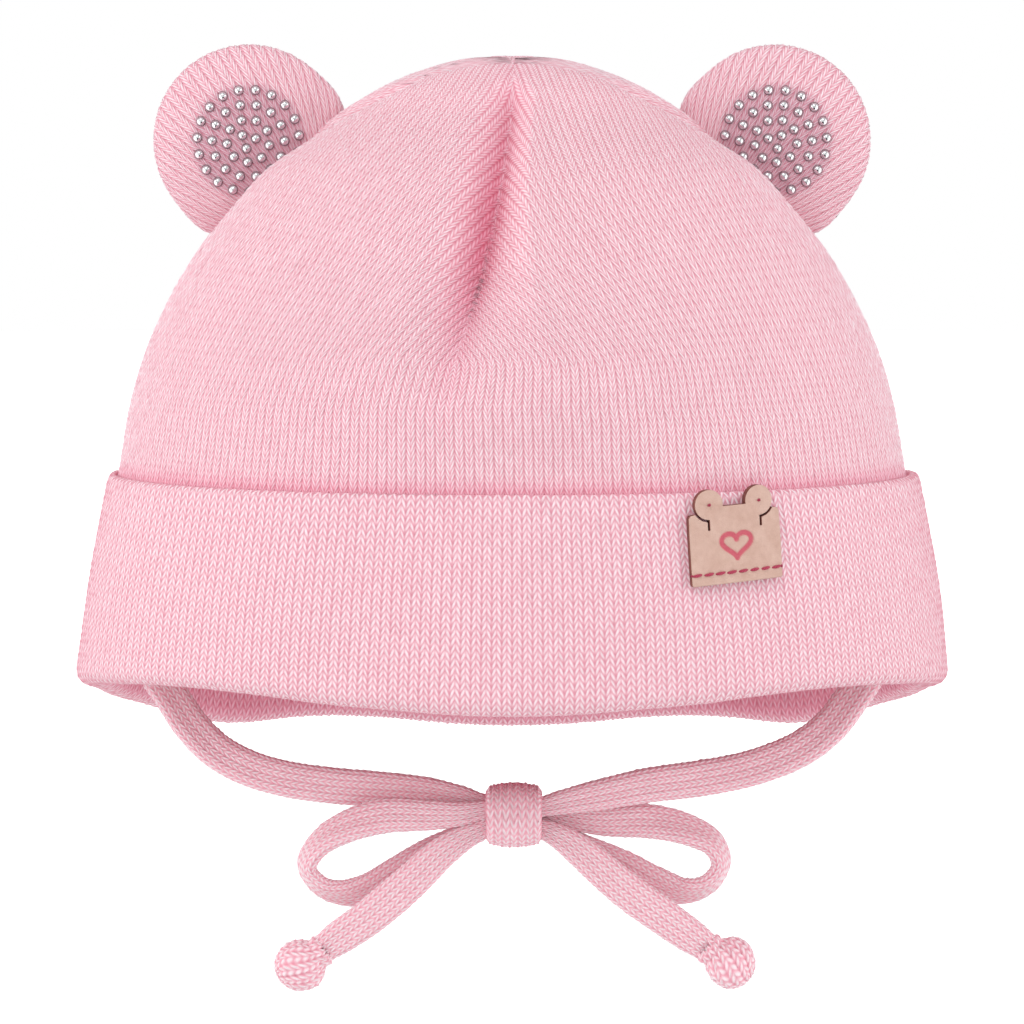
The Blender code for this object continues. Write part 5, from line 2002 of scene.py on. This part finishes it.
@dataclass
class Studio:
    """The camera at the photograph's angle, a white room, soft lights and a pale floor.

    Attributes:
        target: What the camera and the lights aim at.
        glow: The room's light from below and from above.
        glow_rise: Between these heights of a direction it goes from one to the other.
        lamps: Each light's name, place, size and watts.
    """

    target: tuple[float, float, float] = (0.0, 0.0, 0.0376)
    distance: float = 1.300
    elevation: float = math.radians(4.7)
    focal_pixels: float = 6161.0
    picture_pixels: float = 1024.0
    sensor: float = 36.0
    floor_height: float = -0.24
    floor_glow: float = 0.75
    glow: tuple[float, float] = (0.94, 0.64)
    glow_rise: tuple[float, float] = (-0.25, 0.45)
    lamps: tuple[tuple[str, tuple[float, float, float], float, float], ...] = (
        ("key_above", (-0.25, -0.90, 1.20), 1.0, 5.3),
        ("left_side", (-1.40, -0.45, 0.40), 1.0, 6.5),
        ("right_side", (1.40, -0.45, 0.40), 1.0, 5.5),
        ("low_front", (0.00, -1.30, -0.45), 0.8, 1.6),
    )
    flag_place: tuple[float, float, float] = (0.02, -0.25, -0.075)
    flag_size: tuple[float, float, float] = (0.30, 0.36, 1.0)
    flag_tilt: float = math.radians(-55)

    def build_camera(self) -> None:
        """Sets up the camera."""
        data = bpy.data.cameras.new("camera")
        data.sensor_width = self.sensor
        data.lens = self.focal_pixels / self.picture_pixels * self.sensor
        camera = bpy.data.objects.new("camera", data)
        back = Vector((0.0, -math.cos(self.elevation), math.sin(self.elevation)))
        camera.location = Vector(self.target) + back * self.distance
        camera.rotation_euler = (-back).to_track_quat("-Z", "Y").to_euler()
        bpy.context.scene.collection.objects.link(camera)
        bpy.context.scene.camera = camera

    def build_light(self, name: str, place: tuple[float, float, float], size: float, watts: float) -> None:
        """Adds a soft square light aimed at the hat."""
        data = bpy.data.lights.new(name, "AREA")
        data.size = size
        data.energy = watts
        lamp = bpy.data.objects.new(name, data)
        lamp.location = place
        aim = Vector(self.target) - Vector(place)
        lamp.rotation_euler = aim.to_track_quat("-Z", "Y").to_euler()
        bpy.context.scene.collection.objects.link(lamp)

    def build_world(self) -> None:
        """Makes the white room: pure white behind, with a softer glow for its light, brighter from below."""
        world = bpy.data.worlds.new("white room")
        bpy.context.scene.world = world
        graph = Graph(world)
        backdrop = graph.tree.nodes["Background"].inputs
        backdrop["Color"].default_value = (1.0, 1.0, 1.0, 1.0)
        seen = graph.node("ShaderNodeLightPath", {}, {}, "Is Camera Ray")
        heading = graph.node("ShaderNodeTexCoord", {}, {}, "Generated")
        rise = graph.node("ShaderNodeSeparateXYZ", {}, {0: heading}, "Z")
        reach = dict(zip(("From Min", "From Max", "To Min", "To Max"), self.glow_rise + self.glow))
        glow = graph.node("ShaderNodeMapRange", {}, {"Value": rise, **reach})
        level = graph.node("ShaderNodeMapRange", {}, {"Value": seen, "To Min": glow, "To Max": 1.0})
        graph.link(level, backdrop["Strength"])

    def build_floor(self) -> None:
        """Lays the pale floor."""
        bpy.ops.mesh.primitive_circle_add(
            vertices=96, radius=6.0, fill_type="NGON", location=(0, 0, self.floor_height)
        )
        floor = bpy.context.object
        floor.name = "pale_floor"
        shader = Shader("pale floor", {
            "Roughness": 0.9,
            "Base Color": (0.9, 0.9, 0.9, 1.0),
            "Emission Color": (1.0, 1.0, 1.0, 1.0),
            "Emission Strength": self.floor_glow,
        })
        floor.data.materials.append(shader.material)
        floor.visible_diffuse = False

    def build_flag(self) -> None:
        """Hangs a black flag in front and below, that only the studs mirror."""
        bpy.ops.mesh.primitive_plane_add(size=1.0, location=self.flag_place)
        flag = bpy.context.object
        flag.name = "black_flag"
        flag.rotation_euler = (self.flag_tilt, 0, 0)
        flag.scale = self.flag_size
        shader = Shader("black flag", {
            "Roughness": 1.0,
            "Base Color": (0.002, 0.002, 0.002, 1.0),
            "Specular IOR Level": 0.0,
        })
        flag.data.materials.append(shader.material)
        flag.visible_camera = False
        flag.visible_diffuse = False
        flag.visible_shadow = False
        flag.visible_transmission = False

    def build(self) -> None:
        """Builds everything but the camera, which comes first."""
        scene = bpy.context.scene
        scene.view_settings.view_transform = "Standard"
        scene.view_settings.look = "None"
        self.build_world()
        for lamp in self.lamps:
            self.build_light(*lamp)
        self.build_floor()
        self.build_flag()


LEFT_ROUTE = (
    # x, y, z, width share, turn of the face in degrees
    (-0.0778, -0.0124, 0.0135, 1.00, 30.0),
    (-0.0760, -0.0126, 0.0072, 1.00, 30.0),
    (-0.0718, -0.0130, 0.0008, 1.00, 26.0),
    (-0.0672, -0.0140, -0.0060, 1.00, 20.0),
    (-0.0618, -0.0155, -0.0112, 1.00, 14.0),
    (-0.0550, -0.0170, -0.0147, 1.00, 10.0),
    (-0.0474, -0.0180, -0.0168, 1.00, 6.0),
    (-0.0372, -0.0185, -0.0182, 1.00, 2.0),
    (-0.0270, -0.0190, -0.0189, 0.96, 0.0),
    (-0.0170, -0.0205, -0.0195, 0.78, 0.0),
    (-0.0104, -0.0218, -0.0205, 0.58, 0.0),
    (-0.0058, -0.0225, -0.0215, 0.40, 0.0),
    (0.0004, -0.0225, -0.0213, 0.30, 0.0),
    (0.0062, -0.0224, -0.0223, 0.38, 0.0),
    (0.0105, -0.0214, -0.0239, 0.54, 0.0),
    (0.0183, -0.0204, -0.0252, 0.80, 8.0),
    (0.0286, -0.0205, -0.0254, 0.96, 25.0),
    (0.0369, -0.0212, -0.0272, 1.00, 48.0),
    (0.0421, -0.0210, -0.0302, 1.00, 66.0),
    (0.0436, -0.0205, -0.0345, 1.00, 74.0),
    (0.0409, -0.0200, -0.0387, 1.00, 66.0),
    (0.0359, -0.0195, -0.0402, 1.00, 48.0),
    (0.0305, -0.0192, -0.0387, 1.00, 30.0),
    (0.0226, -0.0194, -0.0347, 0.86, 12.0),
    (0.0145, -0.0203, -0.0305, 0.54, 0.0),
    (0.0083, -0.0217, -0.0272, 0.38, 0.0),
    (0.0046, -0.0227, -0.0251, 0.30, 0.0),
    (0.0004, -0.0241, -0.0241, 0.28, 0.0),
    (-0.0030, -0.0253, -0.0252, 0.28, 0.0),
    (-0.0062, -0.0259, -0.0265, 0.40, 0.0),
    (-0.0100, -0.0263, -0.0282, 0.58, 0.0),
    (-0.0143, -0.0268, -0.0310, 0.80, 0.0),
    (-0.0218, -0.0270, -0.0379, 1.00, 0.0),
    (-0.0295, -0.0266, -0.0445, 1.00, 4.0),
    (-0.0360, -0.0260, -0.0491, 0.92, 8.0),
    (-0.0399, -0.0256, -0.0519, 0.70, 10.0),
)

RIGHT_ROUTE = (
    # x, y, z, width share, turn of the face in degrees
    (0.0778, -0.0124, 0.0135, 1.00, -30.0),
    (0.0760, -0.0126, 0.0072, 1.00, -30.0),
    (0.0718, -0.0130, 0.0005, 1.00, -26.0),
    (0.0664, -0.0140, -0.0064, 1.00, -20.0),
    (0.0598, -0.0155, -0.0111, 1.00, -14.0),
    (0.0495, -0.0172, -0.0148, 1.00, -8.0),
    (0.0390, -0.0192, -0.0166, 1.00, -4.0),
    (0.0285, -0.0222, -0.0176, 0.95, 0.0),
    (0.0183, -0.0245, -0.0193, 0.80, 0.0),
    (0.0108, -0.0254, -0.0207, 0.58, 0.0),
    (0.0060, -0.0255, -0.0217, 0.40, 0.0),
    (0.0004, -0.0254, -0.0218, 0.30, 0.0),
    (-0.0058, -0.0256, -0.0224, 0.38, 0.0),
    (-0.0106, -0.0258, -0.0232, 0.58, 0.0),
    (-0.0168, -0.0258, -0.0234, 0.78, -6.0),
    (-0.0270, -0.0253, -0.0237, 0.98, -22.0),
    (-0.0345, -0.0245, -0.0261, 1.00, -44.0),
    (-0.0402, -0.0235, -0.0298, 1.00, -64.0),
    (-0.0427, -0.0222, -0.0346, 1.00, -74.0),
    (-0.0398, -0.0209, -0.0390, 1.00, -66.0),
    (-0.0347, -0.0201, -0.0405, 1.00, -48.0),
    (-0.0296, -0.0196, -0.0396, 1.00, -32.0),
    (-0.0246, -0.0193, -0.0369, 0.96, -18.0),
    (-0.0171, -0.0196, -0.0320, 0.74, -6.0),
    (-0.0108, -0.0209, -0.0285, 0.52, 0.0),
    (-0.0071, -0.0221, -0.0268, 0.40, 0.0),
    (-0.0035, -0.0228, -0.0266, 0.28, 0.0),
    (0.0004, -0.0240, -0.0269, 0.28, 0.0),
    (0.0038, -0.0252, -0.0268, 0.30, 0.0),
    (0.0066, -0.0258, -0.0266, 0.40, 0.0),
    (0.0098, -0.0264, -0.0279, 0.58, 0.0),
    (0.0138, -0.0269, -0.0306, 0.80, 0.0),
    (0.0233, -0.0270, -0.0387, 1.00, 0.0),
    (0.0312, -0.0265, -0.0445, 1.00, -4.0),
    (0.0375, -0.0260, -0.0490, 0.92, -8.0),
    (0.0411, -0.0256, -0.0516, 0.70, -10.0),
)


def report(pieces: list[bpy.types.Object]) -> None:
    """Logs each piece with its number of triangles."""
    for piece in pieces:
        corners = sum(len(face.vertices) - 2 for face in piece.data.polygons)
        LOG.info("%s: %d triangles", piece.name, corners)


def main() -> None:
    """Builds the hat's looks, from the camera and the cords to the light."""
    logging.basicConfig(level=logging.INFO, format="%(message)s")
    studio = Studio()
    studio.build_camera()
    form = HatForm()
    finishes = Finishes()
    for word, route, seed in (("left", LEFT_ROUTE, 71), ("right", RIGHT_ROUTE, 73)):
        ball = Ball(word, (route[-2][:3], route[-1][:3]), seed=seed + 20).build(finishes)
        ribbon = ChinTie("chin_tie_" + word, route, seed=seed).build(finishes, ball)
        report([ball, ribbon])
    report([Knot().build(finishes)])
    report(Crown(form).build(finishes))
    report([Cuff(form).build(finishes)])
    for side in (-1, 1):
        report(Ear(form, side).build(finishes))
    report(Tag(form).build(finishes))
    studio.build()


if __name__ == "__main__":
    main()
